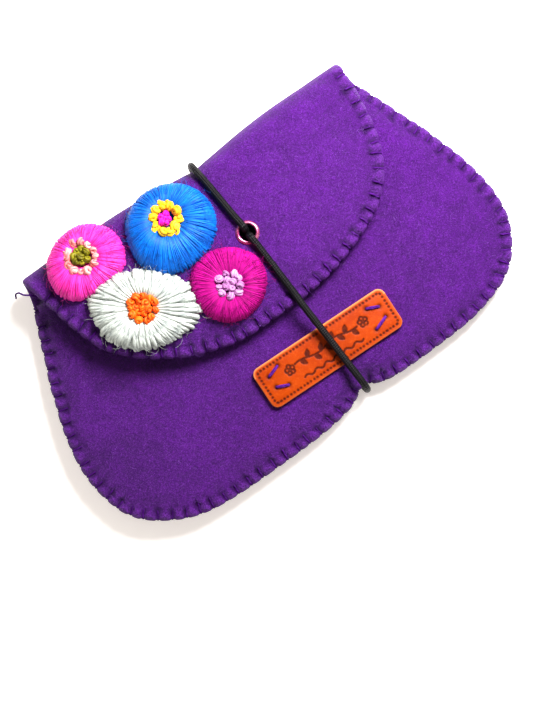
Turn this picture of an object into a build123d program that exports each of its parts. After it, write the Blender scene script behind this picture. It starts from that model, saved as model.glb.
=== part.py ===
from build123d import *
import os
from math import sqrt, cos, sin, pi, radians, degrees, atan2

# Felt needle case: an envelope of thick craft felt. The back panel folds over at the top
# and becomes the flap. An elastic cord, knotted through an eyelet in the flap, loops round
# the closed case. Millimetres, +Z up through the thickness, X along the fold, +Y towards
# the fold. The case lies on its back; the origin is on the table under its middle.

# ---- driving dimensions -------------------------------------------------------------
FELT = 2.4            # outer felt
LINING = 1.1          # lining felt
LEAF = 1.0            # needle leaf felt
BACK_Z = 0.0          # underside of the back panel
LINE_Z = 2.5          # underside of the pouch lining
FRONT_Z = 9.0         # underside of the pocket front
LEAF1_Z = 11.65       # underside of the lower leaf
LEAF2_Z = 12.95       # underside of the upper leaf
FLAP_TOP = 21.0       # outer face of the flap
FLAT_X = 30.0         # half length of the flat middle of the pouch
FLAT_Y0 = -22.0       # lower end of the flat middle
FOLD_Y = 51.2         # outermost line of the fold
FOLD_R = 8.0          # outer radius of the fold
FOLD_C = FOLD_Y - FOLD_R
SPLIT_Z = 12.5        # height of the living hinge line
HINGE_GAP = 0.2       # each side of the hinge line
BACK_RX, BACK_RY = 400.0, 114.0
FRONT_RX, FRONT_RY = 1800.0, 640.0
FLAP_FLAT_X, FLAP_RX = 20.0, 300.0
FLAP_FLAT_Y, FLAP_RY = 15.0, 73.0
CORD_R = 1.3          # elastic cord
CORD_TOP = 23.5       # height of the cord over the flap
CORD_LOW = 1.35       # height of the cord under the back
EYE_X, EYE_Y = 7.5, 20.8
EYE_HOLE, EYE_BARREL, EYE_FLANGE = 2.8, 3.2, 4.4
THREAD = 0.9          # blanket stitch thread
PITCH = 5.3           # blanket stitch spacing
BITE = 5.6            # blanket stitch depth
LABEL = (8.1, -28.8, 56.0, 16.4, -1.0)   # centre x, y, length, height, turn
LABEL_T = 1.3

RIM = [(68.9, FOLD_Y), (70.9, 46.7), (73.8, 39.4), (76.8, 32.2), (79.5, 24.9), (82.6, 17.6),
       (84.9, 10.3), (87.3, 3.0), (89.0, -4.3), (90.2, -11.6), (90.5, -18.9), (89.6, -26.2),
       (87.3, -32.0), (83.8, -37.6), (80.2, -41.4), (76.5, -44.0), (72.9, -45.8), (65.6, -48.2),
       (58.3, -49.8), (51.0, -50.6), (43.7, -51.0), (32.0, -51.3), (24.0, -51.2), (19.0, -50.6),
       (15.6, -48.9), (13.6, -47.0), (11.6, -46.2), (9.6, -47.0), (7.4, -49.4), (4.0, -51.3),
       (0.0, -52.3), (-7.3, -53.4), (-18.2, -54.1), (-32.8, -54.4), (-45.0, -54.4), (-54.7, -53.9),
       (-62.0, -52.8), (-69.3, -50.4), (-76.5, -46.4), (-80.2, -43.7), (-83.8, -40.2),
       (-87.3, -34.5), (-89.6, -26.6), (-90.5, -18.9), (-90.2, -11.6), (-89.0, -4.3),
       (-87.3, 3.0), (-84.9, 10.3), (-82.6, 17.6), (-79.5, 24.9), (-76.8, 32.2), (-73.8, 39.4),
       (-70.9, 46.7), (-68.9, FOLD_Y)]
FLAP_RIM = [(68.9, FOLD_Y), (68.4, 43.7), (68.1, 37.5), (67.2, 29.9), (66.0, 24.0), (64.1, 18.6),
            (61.6, 13.6), (57.3, 8.0), (50.4, 2.1), (42.3, -1.9), (35.9, -4.2), (26.2, -7.1),
            (15.0, -8.9), (1.6, -9.4), (-8.0, -9.5), (-15.8, -9.1), (-22.7, -7.5), (-32.3, -4.4),
            (-40.9, 0.3), (-48.9, 5.9), (-53.5, 10.6), (-57.8, 15.9), (-60.9, 22.8), (-63.3, 30.8),
            (-65.3, 39.3), (-66.9, 46.2), (-68.9, FOLD_Y)]

os.makedirs("parts", exist_ok=True)


def drop(d, r):
    "fall of an arc of radius r at distance d from its tangent point"
    return r - sqrt(r * r - d * d) if d > 0 else 0.0


def back_under(x, y):
    return BACK_Z + drop(abs(x) - FLAT_X, BACK_RX) + drop(FLAT_Y0 - y, BACK_RY)


def front_over(x, y):
    return FRONT_Z + FELT - drop(abs(x) - FLAT_X, FRONT_RX) - drop(FLAT_Y0 - y, FRONT_RY)


def flap_over(x, y):
    z = FLAP_TOP - drop(abs(x) - FLAP_FLAT_X, FLAP_RX) - drop(FLAP_FLAT_Y - y, FLAP_RY)
    return z - drop(min(y - FOLD_C, FOLD_R - 0.01), FOLD_R)


def bowed(z, t, xf, rx, y0, ry, y1, up, fold=0.0, fold_to=0.0):
    """A curved sheet of thickness t. Its outer face is flat at height z over |x| < xf and
    y0 < y < y1 and bends away beyond xf (radius rx) and below y0 (radius ry); up = +1 when
    the edges rise, -1 when they fall. With fold, the sheet also turns through a quarter
    circle of that radius at y1 and runs on to the height fold_to."""
    zi = z + up * t
    a = 40.0 if ry < 100 else 25.0 if ry < 150 else 12.0
    with BuildPart() as sheet:
        for side in (0, 1, -1):
            with BuildSketch(Plane.YZ.offset(side * xf)) as section:
                with BuildLine() as outline:
                    c0 = (y0, z + up * ry)
                    s0 = -90 if up > 0 else 90
                    low_out = CenterArc(c0, ry, s0, -up * a)
                    low_in = CenterArc(c0, ry - t, s0, -up * a)
                    Line(low_out @ 1, low_in @ 1)
                    if fold:
                        c1 = (y1, z + up * fold)
                        Line((y0, z), (y1, z))
                        Line((y0, zi), (y1, zi))
                        hi_out = CenterArc(c1, fold, s0, up * 90)
                        hi_in = CenterArc(c1, fold - t, s0, up * 90)
                        Polyline(hi_out @ 1, (y1 + fold, fold_to), (y1 + fold - t, fold_to), hi_in @ 1)
                    else:
                        Polyline((y0, z), (y1, z), (y1, zi), (y0, zi))
                make_face()
            if side == 0:
                extrude(amount=xf, both=True)
            else:
                revolve(axis=Axis((side * xf, 0, z + up * rx), (0, -up * side, 0)),
                        revolution_arc=degrees(95.0 / rx) if rx > 100 else 30)
    return sheet.part


def rim_sketch(points, y_cut=None):
    with BuildSketch() as area:
        with BuildLine():
            edge = Spline(*points)
            Line(edge @ 1, edge @ 0)
        make_face()
        if y_cut is not None:
            with BuildSketch(mode=Mode.INTERSECT):
                with Locations((0, y_cut - 100)):
                    Rectangle(300, 200)
    return area.sketch


def inset(points, d):
    "the same outline moved inwards by d, its two ends kept on the fold line"
    moved = []
    for i, (x, y) in enumerate(points):
        ax, ay = points[max(i - 1, 0)]
        bx, by = points[min(i + 1, len(points) - 1)]
        far = sqrt((bx - ax) ** 2 + (by - ay) ** 2)
        nx, ny = (by - ay) / far, -(bx - ax) / far
        end = i in (0, len(points) - 1)
        moved.append((x + d * nx, y if end else y + d * ny))
    return moved


# ---- the elastic cord's route --------------------------------------------------------
ROUTE = [(EYE_X, EYE_Y + 1.4, 16.9), (EYE_X, EYE_Y + 1.4, CORD_TOP), (4.6, FOLD_Y + 1.9, CORD_TOP),
         (4.6, FOLD_Y + 1.9, CORD_LOW), (11.6, -48.1, CORD_LOW), (11.6, -48.1, 13.0),
         (9.5, -11.0, 19.4), (8.1, 12.0, CORD_TOP), (EYE_X, EYE_Y - 1.4, CORD_TOP),
         (EYE_X, EYE_Y - 1.4, 16.9)]
BENDS = [2.0, FOLD_R + 2.3, FOLD_R + 2.3, 3.3, 3.3, 40.0, 25.0, 2.0]
print("cord bend radii", BENDS)

with BuildPart() as elastic_cord:
    with BuildLine() as cord_line:
        FilletPolyline(*ROUTE, radius=BENDS)
    with BuildSketch(Plane(origin=ROUTE[0], z_dir=(0, 0, 1))):
        Circle(CORD_R)
    sweep(path=cord_line.wires()[0])
length = cord_line.wires()[0].length
print("cord length", round(length, 2), "volume ratio",
      round(elastic_cord.part.volume / (length * pi * CORD_R ** 2), 4))

with BuildPart() as cord_room:
    with BuildLine() as room_line:
        FilletPolyline(*ROUTE, radius=BENDS)
    with BuildSketch(Plane(origin=ROUTE[0], z_dir=(0, 0, 1))):
        Circle(CORD_R + 0.25)
    sweep(path=room_line.wires()[0])

run = Vector(ROUTE[3]) - Vector(ROUTE[4])
run_mid = (Vector(ROUTE[3]) + Vector(ROUTE[4])) * 0.5
run_turn = degrees(atan2(-run.X, run.Y))

# ---- pouch ---------------------------------------------------------------------------
back_sheet = bowed(BACK_Z, FELT, FLAT_X, BACK_RX, FLAT_Y0, BACK_RY, FOLD_C, 1, FOLD_R, SPLIT_Z - HINGE_GAP)
with BuildPart() as back_felt:
    add(back_sheet)
    with BuildSketch(Plane.XY.offset(-1)):
        add(rim_sketch(RIM))
    extrude(amount=40, mode=Mode.INTERSECT)
    # the felt is drawn in along the cord: a rib stands up inside over the groove
    with BuildSketch(Plane(origin=(run_mid.X, 0, 1.2), x_dir=Vector(1, 0, 0).rotate(Axis.Z, run_turn), z_dir=(0, 0, 1))):
        with Locations((0, -1.0)):
            RectangleRounded(7.0, 86.0, 3.0)
    extrude(amount=4.0)
    add(cord_room.part, mode=Mode.SUBTRACT)
    with BuildSketch(Plane(origin=(run_mid.X, 0, -1), x_dir=Vector(1, 0, 0).rotate(Axis.Z, run_turn), z_dir=(0, 0, 1))):
        Rectangle(2 * CORD_R + 0.5, 130)
    extrude(amount=1 + CORD_LOW, mode=Mode.SUBTRACT)
    with BuildSketch(Plane.XY.offset(SPLIT_Z - HINGE_GAP)):
        Rectangle(220, 140)
    extrude(amount=20, mode=Mode.SUBTRACT)
back_felt.part.label = "back_felt"

back_room = bowed(BACK_Z, FELT + 0.08, FLAT_X, BACK_RX, FLAT_Y0, BACK_RY, FOLD_C, 1, FOLD_R, SPLIT_Z)
line_sheet = bowed(LINE_Z, LINING, FLAT_X, BACK_RX - LINE_Z, FLAT_Y0, BACK_RY - LINE_Z, FOLD_C, 1,
                   FOLD_R - LINE_Z, SPLIT_Z - HINGE_GAP)
with BuildPart() as pouch_lining:
    add(line_sheet)
    with BuildSketch(Plane.XY.offset(-1)):
        add(rim_sketch(inset([p for p in RIM if not -1 < p[0] < 25 or p[1] > 0], 5.0)))
    extrude(amount=40, mode=Mode.INTERSECT)
    with BuildSketch(Plane(origin=(run_mid.X, 0, LINE_Z + 0.2), x_dir=Vector(1, 0, 0).rotate(Axis.Z, run_turn), z_dir=(0, 0, 1))):
        with Locations((0, -1.0)):
            RectangleRounded(9.8, 88.6, 4.0)
    extrude(amount=3.8)
    with BuildSketch(Plane(origin=(run_mid.X, 0, 0), x_dir=Vector(1, 0, 0).rotate(Axis.Z, run_turn), z_dir=(0, 0, 1))):
        with Locations((0, -1.0)):
            RectangleRounded(7.4, 86.4, 3.2)
    extrude(amount=5.3, mode=Mode.SUBTRACT)
    add(back_room, mode=Mode.SUBTRACT)
    add(cord_room.part, mode=Mode.SUBTRACT)
    with BuildSketch(Plane.XY.offset(SPLIT_Z - HINGE_GAP)):
        Rectangle(220, 140)
    extrude(amount=20, mode=Mode.SUBTRACT)
pouch_lining.part.label = "pouch_lining"

front_sheet = bowed(FRONT_Z + FELT, FELT, FLAT_X, FRONT_RX, FLAT_Y0, FRONT_RY, 60, -1)
with BuildPart() as front_felt:
    add(front_sheet)
    with BuildSketch(Plane.XY.offset(-1)):
        add(rim_sketch(RIM, 44.0))
    extrude(amount=40, mode=Mode.INTERSECT)
    add(cord_room.part, mode=Mode.SUBTRACT)
front_felt.part.label = "front_felt"


def stitches(points, first, last, over, under, skip, lead=0.0):
    """Blanket stitches: a C of thread at every pitch along a rim, each one clear of both faces.
    Every arm is cut off square BITE inside the rim."""
    edge = Spline(*points, mode=Mode.PRIVATE)
    n = int((last - first) * edge.length / PITCH)
    made = []
    for i in range(n + 1):
        u = first + (last - first) * i / n
        p, t = edge @ u, edge % u
        inward = Vector(t.Y, -t.X, 0) if (Vector(t.Y, -t.X, 0).dot(Vector(0, 15, 0) - p) > 0) else Vector(-t.Y, t.X, 0)
        if skip(p.X, p.Y):
            continue
        at = [p + inward * (BITE * k / 4) for k in range(5)]
        zt = max(over(q.X, q.Y) for q in at) + 0.12
        zb = min(under(q.X, q.Y) for q in at) - 0.12
        with BuildPart() as one:
            with BuildSketch(Plane(origin=(p.X, p.Y, 0), x_dir=inward, z_dir=inward.cross(Vector(0, 0, 1)))):
                with BuildLine():
                    Polyline((-0.2 - THREAD, zb - THREAD), (BITE, zb - THREAD), (BITE, zb), (-0.2, zb),
                             (-0.2, zt), (BITE, zt), (BITE, zt + THREAD), (-0.2 - THREAD, zt + THREAD), close=True)
                make_face()
            extrude(amount=THREAD / 2, both=True)
        made.append(one.part)
    return made


pouch_stitch_list = stitches(RIM, 0.025, 0.975, front_over, back_under,
                             lambda x, y: abs(x - 11.6) < 5.6 and y < -40)
with BuildPart() as pouch_stitches:
    for s in pouch_stitch_list:
        add(s)
pouch_stitches.part.label = "pouch_stitches"

# ---- leather label --------------------------------------------------------------------
label_sheet = bowed(FRONT_Z + FELT + 0.04 + LABEL_T, LABEL_T, FLAT_X, FRONT_RX + LABEL_T + 0.04, FLAT_Y0,
                    FRONT_RY + LABEL_T + 0.04, 60, -1)
LABEL_PLANE = Plane(origin=(LABEL[0], LABEL[1], 0), x_dir=Vector(1, 0, 0).rotate(Axis.Z, LABEL[4]), z_dir=(0, 0, 1))
TACKS = [((-18.6, 4.8), (-23.3, 3.1)), ((-23.1, -1.4), (-18.9, -3.2)),
         ((19.1, 4.2), (23.5, 2.3)), ((23.5, -2.0), (18.2, -4.0))]
with BuildPart() as leather_label:
    add(label_sheet)
    with BuildSketch(LABEL_PLANE):
        RectangleRounded(LABEL[2], LABEL[3], 2.8)
        with Locations(*[q for pair in TACKS for q in pair]):
            Circle(0.75, mode=Mode.SUBTRACT)
    extrude(amount=40, mode=Mode.INTERSECT)
leather_label.part.label = "leather_label"

with BuildPart() as label_tacks:
    for a, b in TACKS:
        for q in (a, b):
            w = LABEL_PLANE.from_local_coords(Vector(q[0], q[1], 0))
            with BuildSketch(Plane(origin=(w.X, w.Y, front_over(w.X, w.Y) + 0.06), z_dir=(0, 0, 1))):
                Circle(0.55)
            extrude(amount=LABEL_T + 0.4)
        mid = ((a[0] + b[0]) / 2, (a[1] + b[1]) / 2)
        far = sqrt((a[0] - b[0]) ** 2 + (a[1] - b[1]) ** 2)
        w = LABEL_PLANE.from_local_coords(Vector(mid[0], mid[1], 0))
        on_front = [LABEL_PLANE.from_local_coords(Vector(q[0], q[1], 0)) for q in (a, b, mid)]
        top = max(front_over(q.X, q.Y) for q in on_front)
        with BuildSketch(Plane(origin=(w.X, w.Y, top + 0.04 + LABEL_T + 0.12),
                               x_dir=Vector(1, 0, 0).rotate(Axis.Z, LABEL[4] + degrees(atan2(b[1] - a[1], b[0] - a[0]))),
                               z_dir=(0, 0, 1))):
            SlotCenterToCenter(far, 1.3)
        extrude(amount=0.8)
label_tacks.part.label = "label_tacks"

# ---- flap ------------------------------------------------------------------------------
flap_sheet = bowed(FLAP_TOP, FELT, FLAP_FLAT_X, FLAP_RX, FLAP_FLAT_Y, FLAP_RY, FOLD_C, -1, FOLD_R, SPLIT_Z - 6)
with BuildPart() as flap_felt:
    add(flap_sheet)
    with BuildSketch(Plane.XY.offset(SPLIT_Z + HINGE_GAP)):
        add(rim_sketch(FLAP_RIM))
    extrude(amount=40, mode=Mode.INTERSECT)
    with BuildSketch(Plane.XY):
        with Locations((EYE_X, EYE_Y)):
            Circle(EYE_BARREL + 0.05)
    extrude(amount=40, mode=Mode.SUBTRACT)
flap_felt.part.label = "flap_felt"

flap_line_sheet = bowed(FLAP_TOP - FELT - 0.1, LINING, FLAP_FLAT_X, FLAP_RX - FELT - 0.1, FLAP_FLAT_Y,
                        FLAP_RY - FELT - 0.1, FOLD_C, -1, FOLD_R - FELT - 0.1, SPLIT_Z - 6)
with BuildPart() as flap_lining:
    add(flap_line_sheet)
    with BuildSketch(Plane.XY.offset(SPLIT_Z + HINGE_GAP)):
        add(rim_sketch(inset(FLAP_RIM, 1.0)))
    extrude(amount=40, mode=Mode.INTERSECT)
    with BuildSketch(Plane.XY):
        with Locations((EYE_X, EYE_Y)):
            Circle(EYE_BARREL + 0.05)
    extrude(amount=40, mode=Mode.SUBTRACT)
flap_lining.part.label = "flap_lining"

STACK = FELT + 0.1 + LINING
flap_stitch_list = stitches(FLAP_RIM, 0.056, 0.944, flap_over, lambda x, y: flap_over(x, y) - STACK - 0.25,
                            lambda x, y: abs(x - 9.4) < 2.6 and y < 0)
with BuildPart() as flap_stitches:
    for s in flap_stitch_list:
        add(s)
flap_stitches.part.label = "flap_stitches"

# eyelet: a rolled flange and its barrel, closed by a washer under the lining
with BuildPart() as eyelet:
    with BuildSketch(Plane.XZ.offset(-EYE_Y)):
        with BuildLine():
            Polyline((EYE_X + EYE_HOLE, 16.9), (EYE_X + EYE_BARREL, 16.9), (EYE_X + EYE_BARREL, FLAP_TOP + 0.02),
                     (EYE_X + EYE_FLANGE, FLAP_TOP + 0.02), (EYE_X + EYE_FLANGE, FLAP_TOP + 0.25))
            SagittaArc((EYE_X + EYE_FLANGE, FLAP_TOP + 0.25), (EYE_X + EYE_HOLE, FLAP_TOP + 0.25), -0.5)
            Line((EYE_X + EYE_HOLE, FLAP_TOP + 0.25), (EYE_X + EYE_HOLE, 16.9))
        make_face()
    revolve(axis=Axis((EYE_X, EYE_Y, 0), (0, 0, 1)))
eyelet.part.label = "eyelet"

with BuildPart() as eyelet_washer:
    with BuildSketch(Plane(origin=(EYE_X, EYE_Y, 16.9), z_dir=(0, 0, 1))):
        Circle(EYE_FLANGE)
        Circle(EYE_BARREL + 0.05, mode=Mode.SUBTRACT)
    extrude(amount=0.45)
    fillet(eyelet_washer.edges().filter_by(GeomType.CIRCLE).sort_by(SortBy.RADIUS)[-2:], 0.15)
eyelet_washer.part.label = "eyelet_washer"

# the cord's two ends are tied in one knot that can't pass the washer
with BuildPart() as cord_knot:
    with BuildSketch(Plane(origin=(EYE_X, EYE_Y, 14.2), z_dir=(0, 0, 1))):
        Ellipse(4.4, 3.8)
    extrude(amount=2.65)
    fillet(cord_knot.edges(), 1.25)
cord_knot.part.label = "cord_knot"

# ---- embroidered flowers ----------------------------------------------------------------
flap_mass = bowed(FLAP_TOP + 0.03, 6.0, FLAP_FLAT_X, FLAP_RX + 0.03, FLAP_FLAT_Y, FLAP_RY + 0.03, FOLD_C, -1,
                  FOLD_R + 0.03, SPLIT_Z - 6)


def petals(cx, cy, rx, ry, turn, height, hole):
    "a low mound of radial satin stitch round an open centre, lying on the flap"
    base = flap_over(cx, cy)
    with BuildPart() as mound:
        with BuildSketch(Plane(origin=(cx, cy, base - 4.0), z_dir=(0, 0, 1))):
            Ellipse(rx, ry, rotation=turn)
            Circle(hole, mode=Mode.SUBTRACT)
        extrude(amount=4.0 + height)
        fillet(mound.faces().sort_by(Axis.Z)[-1].edges().sort_by(SortBy.LENGTH)[-1], 1.6)
        add(flap_mass, mode=Mode.SUBTRACT)
    solid = mound.part.solids().sort_by(Axis.Z)[-1]
    return solid


def knots(cx, cy, rings):
    "french knots, each a bead of wound thread: rings of (count, ring radius, bead radius)"
    with BuildPart() as beads:
        for count, ring, r in rings:
            for i in range(count):
                a = 2 * pi * i / count + ring
                x, y = cx + ring * cos(a), cy + ring * sin(a)
                z = max(flap_over(x, y), flap_over(x, y - r), flap_over(x - r, y), flap_over(x + r, y), flap_over(x, y + r))
                with Locations((x, y, z + r + 0.15)):
                    Sphere(r)
    return beads.part


FLOWERS = {
    "pink": (-45.2, 43.4, 14.2, 8.4, 0.0, 3.6, 6.3, [("ring", [(11, 4.8, 1.3)]), ("core", [(6, 2.2, 1.05), (1, 0.0, 1.05)])]),
    "blue": (-13.3, 36.0, 15.2, 12.8, 0.0, 3.9, 6.8, [("ring", [(10, 5.1, 1.5)]), ("core", [(4, 1.75, 1.15)])]),
    "white": (-37.3, 19.3, 18.3, 11.0, -34.6, 3.9, 6.0, [("knots", [(11, 4.5, 1.2), (5, 1.9, 1.05)])]),
    "magenta": (-8.0, 9.2, 12.6, 12.4, 0.0, 3.9, 5.6, [("knots", [(11, 4.2, 1.1), (5, 1.75, 0.95)])]),
}
for name, (cx, cy, rx, ry, turn, height, hole, parts_of) in FLOWERS.items():
    made = petals(cx, cy, rx, ry, turn, height, hole)
    made.label = name + "_petals"
    export_step(made, "parts/" + name + "_petals.step")
    for kind, rings in parts_of:
        made = knots(cx, cy, rings)
        made.label = name + "_" + kind
        export_step(made, "parts/" + name + "_" + kind + ".step")

# ---- needle leaves -----------------------------------------------------------------------
LEAF_TOP = 46.6
LEAF_RIM = [(50.0, LEAF_TOP), (52.5, 40.0), (54.5, 32.0), (55.0, 24.0), (52.0, 14.5), (46.0, 7.0), (36.0, 1.8), (23.0, -1.2),
            (8.0, -2.2), (-8.0, -2.2), (-22.0, -0.8), (-34.0, 3.6), (-44.0, 10.6), (-50.5, 18.5), (-53.0, 26.0),
            (-53.0, 33.0), (-51.5, 40.0), (-49.5, LEAF_TOP)]


def leaf(z, inset):
    sheet = bowed(z + LEAF, LEAF, FLAT_X, FRONT_RX + z + LEAF - FRONT_Z - FELT, FLAT_Y0, FRONT_RY, 60, -1)
    with BuildPart() as page:
        add(sheet)
        with BuildSketch():
            with BuildLine():
                edge = Spline(*[(x * (1 - inset / 60), LEAF_TOP - (LEAF_TOP - y) * (1 - inset / 50)) for x, y in LEAF_RIM])
                Line(edge @ 1, edge @ 0)
            make_face()
        extrude(amount=40, mode=Mode.INTERSECT)
    return page.part


leaf_lower = leaf(LEAF1_Z, 0.0)
leaf_lower.label = "leaf_lower"
leaf_upper = leaf(LEAF2_Z, 1.5)
leaf_upper.label = "leaf_upper"


elastic_cord.part.label = "elastic_cord"
for piece in (back_felt, pouch_lining, front_felt, pouch_stitches, leather_label, label_tacks, flap_felt, flap_lining,
              flap_stitches, eyelet, eyelet_washer, cord_knot, elastic_cord):
    export_step(piece.part, "parts/" + piece.part.label + ".step")
for page in (leaf_lower, leaf_upper):
    export_step(page, "parts/" + page.label + ".step")
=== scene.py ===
import bpy, bmesh, math, random
import numpy as np
from mathutils import Vector, Matrix, kdtree, noise
from mathutils.geometry import delaunay_2d_cdt


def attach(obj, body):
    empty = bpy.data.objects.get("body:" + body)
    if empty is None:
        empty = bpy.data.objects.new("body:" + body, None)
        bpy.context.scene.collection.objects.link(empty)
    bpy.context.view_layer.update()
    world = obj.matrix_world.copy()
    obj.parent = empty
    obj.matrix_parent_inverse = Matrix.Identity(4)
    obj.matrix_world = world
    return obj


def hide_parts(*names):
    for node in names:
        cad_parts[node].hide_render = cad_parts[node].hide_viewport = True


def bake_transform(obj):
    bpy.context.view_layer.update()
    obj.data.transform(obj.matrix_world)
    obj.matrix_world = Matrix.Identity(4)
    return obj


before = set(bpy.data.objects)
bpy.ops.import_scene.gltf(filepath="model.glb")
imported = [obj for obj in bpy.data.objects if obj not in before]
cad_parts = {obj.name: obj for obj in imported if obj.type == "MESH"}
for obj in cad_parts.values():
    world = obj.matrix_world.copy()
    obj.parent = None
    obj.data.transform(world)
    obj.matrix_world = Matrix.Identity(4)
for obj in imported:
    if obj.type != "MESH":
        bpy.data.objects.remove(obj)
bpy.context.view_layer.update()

MM = 0.001
RND = random.Random(7)
COL = bpy.context.scene.collection

# ------------------------------------------------------------------------------------
# The case's own numbers, in millimetres, the same as the CAD's
# ------------------------------------------------------------------------------------
FELT, LINING, LEAF = 2.4, 1.1, 1.0
FOLD_Y, FOLD_R = 51.2, 8.0
FOLD_C = FOLD_Y - FOLD_R
FLAP_TOP = 21.0
EYE = (7.5, 20.8)
CORD_R = 1.3
PITCH = 5.3

RIM = [(68.9, 51.2), (70.9, 46.7), (73.8, 39.4), (76.8, 32.2), (79.5, 24.9), (82.6, 17.6),
       (84.9, 10.3), (87.3, 3.0), (89.0, -4.3), (90.2, -11.6), (90.5, -18.9), (89.6, -26.2),
       (87.3, -32.0), (83.8, -37.6), (80.2, -41.4), (76.5, -44.0), (72.9, -45.8), (65.6, -48.2),
       (58.3, -49.8), (51.0, -50.6), (43.7, -51.0), (32.0, -51.3), (24.0, -51.2), (19.0, -50.6),
       (15.6, -49.4), (13.6, -48.2), (11.6, -47.6), (9.6, -48.2), (7.4, -49.6), (4.0, -51.3),
       (0.0, -52.3), (-7.3, -53.4), (-18.2, -54.1), (-32.8, -54.4), (-45.0, -54.4), (-54.7, -53.9),
       (-62.0, -52.8), (-69.3, -50.4), (-76.5, -46.4), (-80.2, -43.7), (-83.8, -40.2),
       (-87.3, -34.5), (-89.6, -26.6), (-90.5, -18.9), (-90.2, -11.6), (-89.0, -4.3),
       (-87.3, 3.0), (-84.9, 10.3), (-82.6, 17.6), (-79.5, 24.9), (-76.8, 32.2), (-73.8, 39.4),
       (-70.9, 46.7), (-68.9, 51.2)]
FLAP_RIM = [(68.9, 51.2), (68.6, 43.7), (68.3, 37.5), (67.4, 29.9), (66.0, 24.0), (64.1, 18.6),
            (61.6, 13.6), (57.3, 8.0), (50.4, 2.1), (42.3, -1.9), (35.9, -4.2), (26.2, -7.1),
            (15.0, -8.9), (1.6, -9.4), (-8.0, -9.5), (-15.8, -9.1), (-22.7, -7.5), (-32.3, -4.4),
            (-40.9, 0.3), (-48.9, 5.9), (-53.5, 10.6), (-57.8, 15.9), (-60.9, 22.8), (-63.3, 30.8),
            (-65.3, 39.3), (-66.9, 46.2), (-68.9, 51.2)]


def drop(d, r):
    return r - math.sqrt(max(r * r - d * d, 0.0)) if d > 0 else 0.0


def sstep(a, b, x):
    t = min(max((x - a) / (b - a), 0.0), 1.0)
    return t * t * (3 - 2 * t)


def bump(x, w):
    return math.exp(-(x / w) ** 2)


# ------------------------------------------------------------------------------------
# Surfaces. Each gives the height of the middle of a felt layer at a place on the table.
# ------------------------------------------------------------------------------------
def cord_x(y):
    "where the cord crosses the front at height y"
    if y > EYE[1]:
        return EYE[0] + (4.6 - EYE[0]) * (y - EYE[1]) / (53.1 - EYE[1])
    return EYE[0] + (11.6 - EYE[0]) * (EYE[1] - y) / (EYE[1] + 48.1)


def soft(x, y, s, k):
    return noise.noise(Vector((x * s, y * s, k)))


def back_mid(x, y):
    z = 1.2 + drop(abs(x) - 30.0, 400.0) + drop(-22.0 - y, 114.0)
    return z


def front_mid(x, y):
    z = 10.2 - drop(abs(x) - 30.0, 1800.0) - drop(-22.0 - y, 640.0)
    # the cord draws the bottom edge in and leaves soft folds that fan up from it
    dx = x - cord_x(y)
    near = sstep(-18.0, -50.0, y)
    z += near * (-1.3 * bump(dx, 3.4) + 0.75 * bump(dx - 8.5, 4.2) + 0.75 * bump(dx + 9.5, 4.6))
    z += 0.45 * soft(x, y, 0.028, 3.1) + 0.22 * soft(x, y, 0.07, 8.0)
    return z


def flap_mid(x, y):
    z = FLAP_TOP - FELT / 2 - drop(abs(x) - 20.0, 300.0) - drop(15.0 - y, 73.0)
    # right side settles on the pocket; left side stays lifted
    z -= 1.9 * sstep(38.0, 69.0, x) * sstep(47.0, 34.0, y)
    z -= 0.7 * sstep(8.0, 34.0, x) * sstep(8.0, -8.0, y)
    z += 0.9 * sstep(-44.0, -66.0, x) * sstep(44.0, 26.0, y)
    dx = x - cord_x(y)
    z += -0.55 * bump(dx, 3.6) * sstep(16.0, 6.0, y) - 0.35 * bump(dx, 3.6) * sstep(28.0, 40.0, y)
    z += 0.35 * soft(x, y, 0.035, 5.7)
    return z


FOLD_N = 2.5                      # how square the fold's section is


def fold_edge(x):
    "outermost line of the fold; the cord pinches it"
    return 54.0 - 2.6 * bump(x - 4.6, 20.0) - 0.5 * bump(x - 4.6, 3.5) + 0.25 * soft(x, 0, 0.05, 1.0)


def fold_table():
    "angle against length round the fold's middle line"
    a, b = 9.6, 9.3
    phi = [-math.pi / 2 + math.pi * i / 240 for i in range(241)]
    pts = [(a * abs(math.cos(p)) ** (2 / FOLD_N), b * math.copysign(abs(math.sin(p)) ** (2 / FOLD_N), p)) for p in phi]
    run = [0.0]
    for p, q in zip(pts, pts[1:]):
        run.append(run[-1] + math.hypot(q[0] - p[0], q[1] - p[1]))
    return phi, run


PHI, RUN = fold_table()
FOLD_LEN = RUN[-1]
V1, V2 = FOLD_C, FOLD_C + FOLD_LEN


def outer_mid(x, v):
    "middle of the outer felt, on the flat pattern: v runs up the back, round the fold and down the flap"
    if v <= V1:
        return Vector((x, v, back_mid(x, v)))
    if v >= V2:
        y = FOLD_C - (v - V2)
        return Vector((x, y, flap_mid(x, y)))
    z0, z1 = back_mid(x, V1), flap_mid(x, FOLD_C)
    a = fold_edge(x) - FELT / 2 - FOLD_C
    phi = np.interp(v - V1, RUN, PHI)
    c, s = abs(math.cos(phi)) ** (2 / FOLD_N), math.copysign(abs(math.sin(phi)) ** (2 / FOLD_N), phi)
    return Vector((x, FOLD_C + a * c, (z0 + z1) / 2 + (z1 - z0) / 2 * s))


def flap_skin(x, y):
    "height of the flap's outer face, over the fold's shoulder as well"
    if y <= FOLD_C:
        return flap_mid(x, y) + FELT / 2
    z0, z1 = back_mid(x, V1) - FELT / 2, flap_mid(x, FOLD_C) + FELT / 2
    t = min((y - FOLD_C) / (fold_edge(x) - FOLD_C), 0.985)
    return (z0 + z1) / 2 + (z1 - z0) / 2 * (1 - t ** FOLD_N) ** (1 / FOLD_N)


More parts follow.
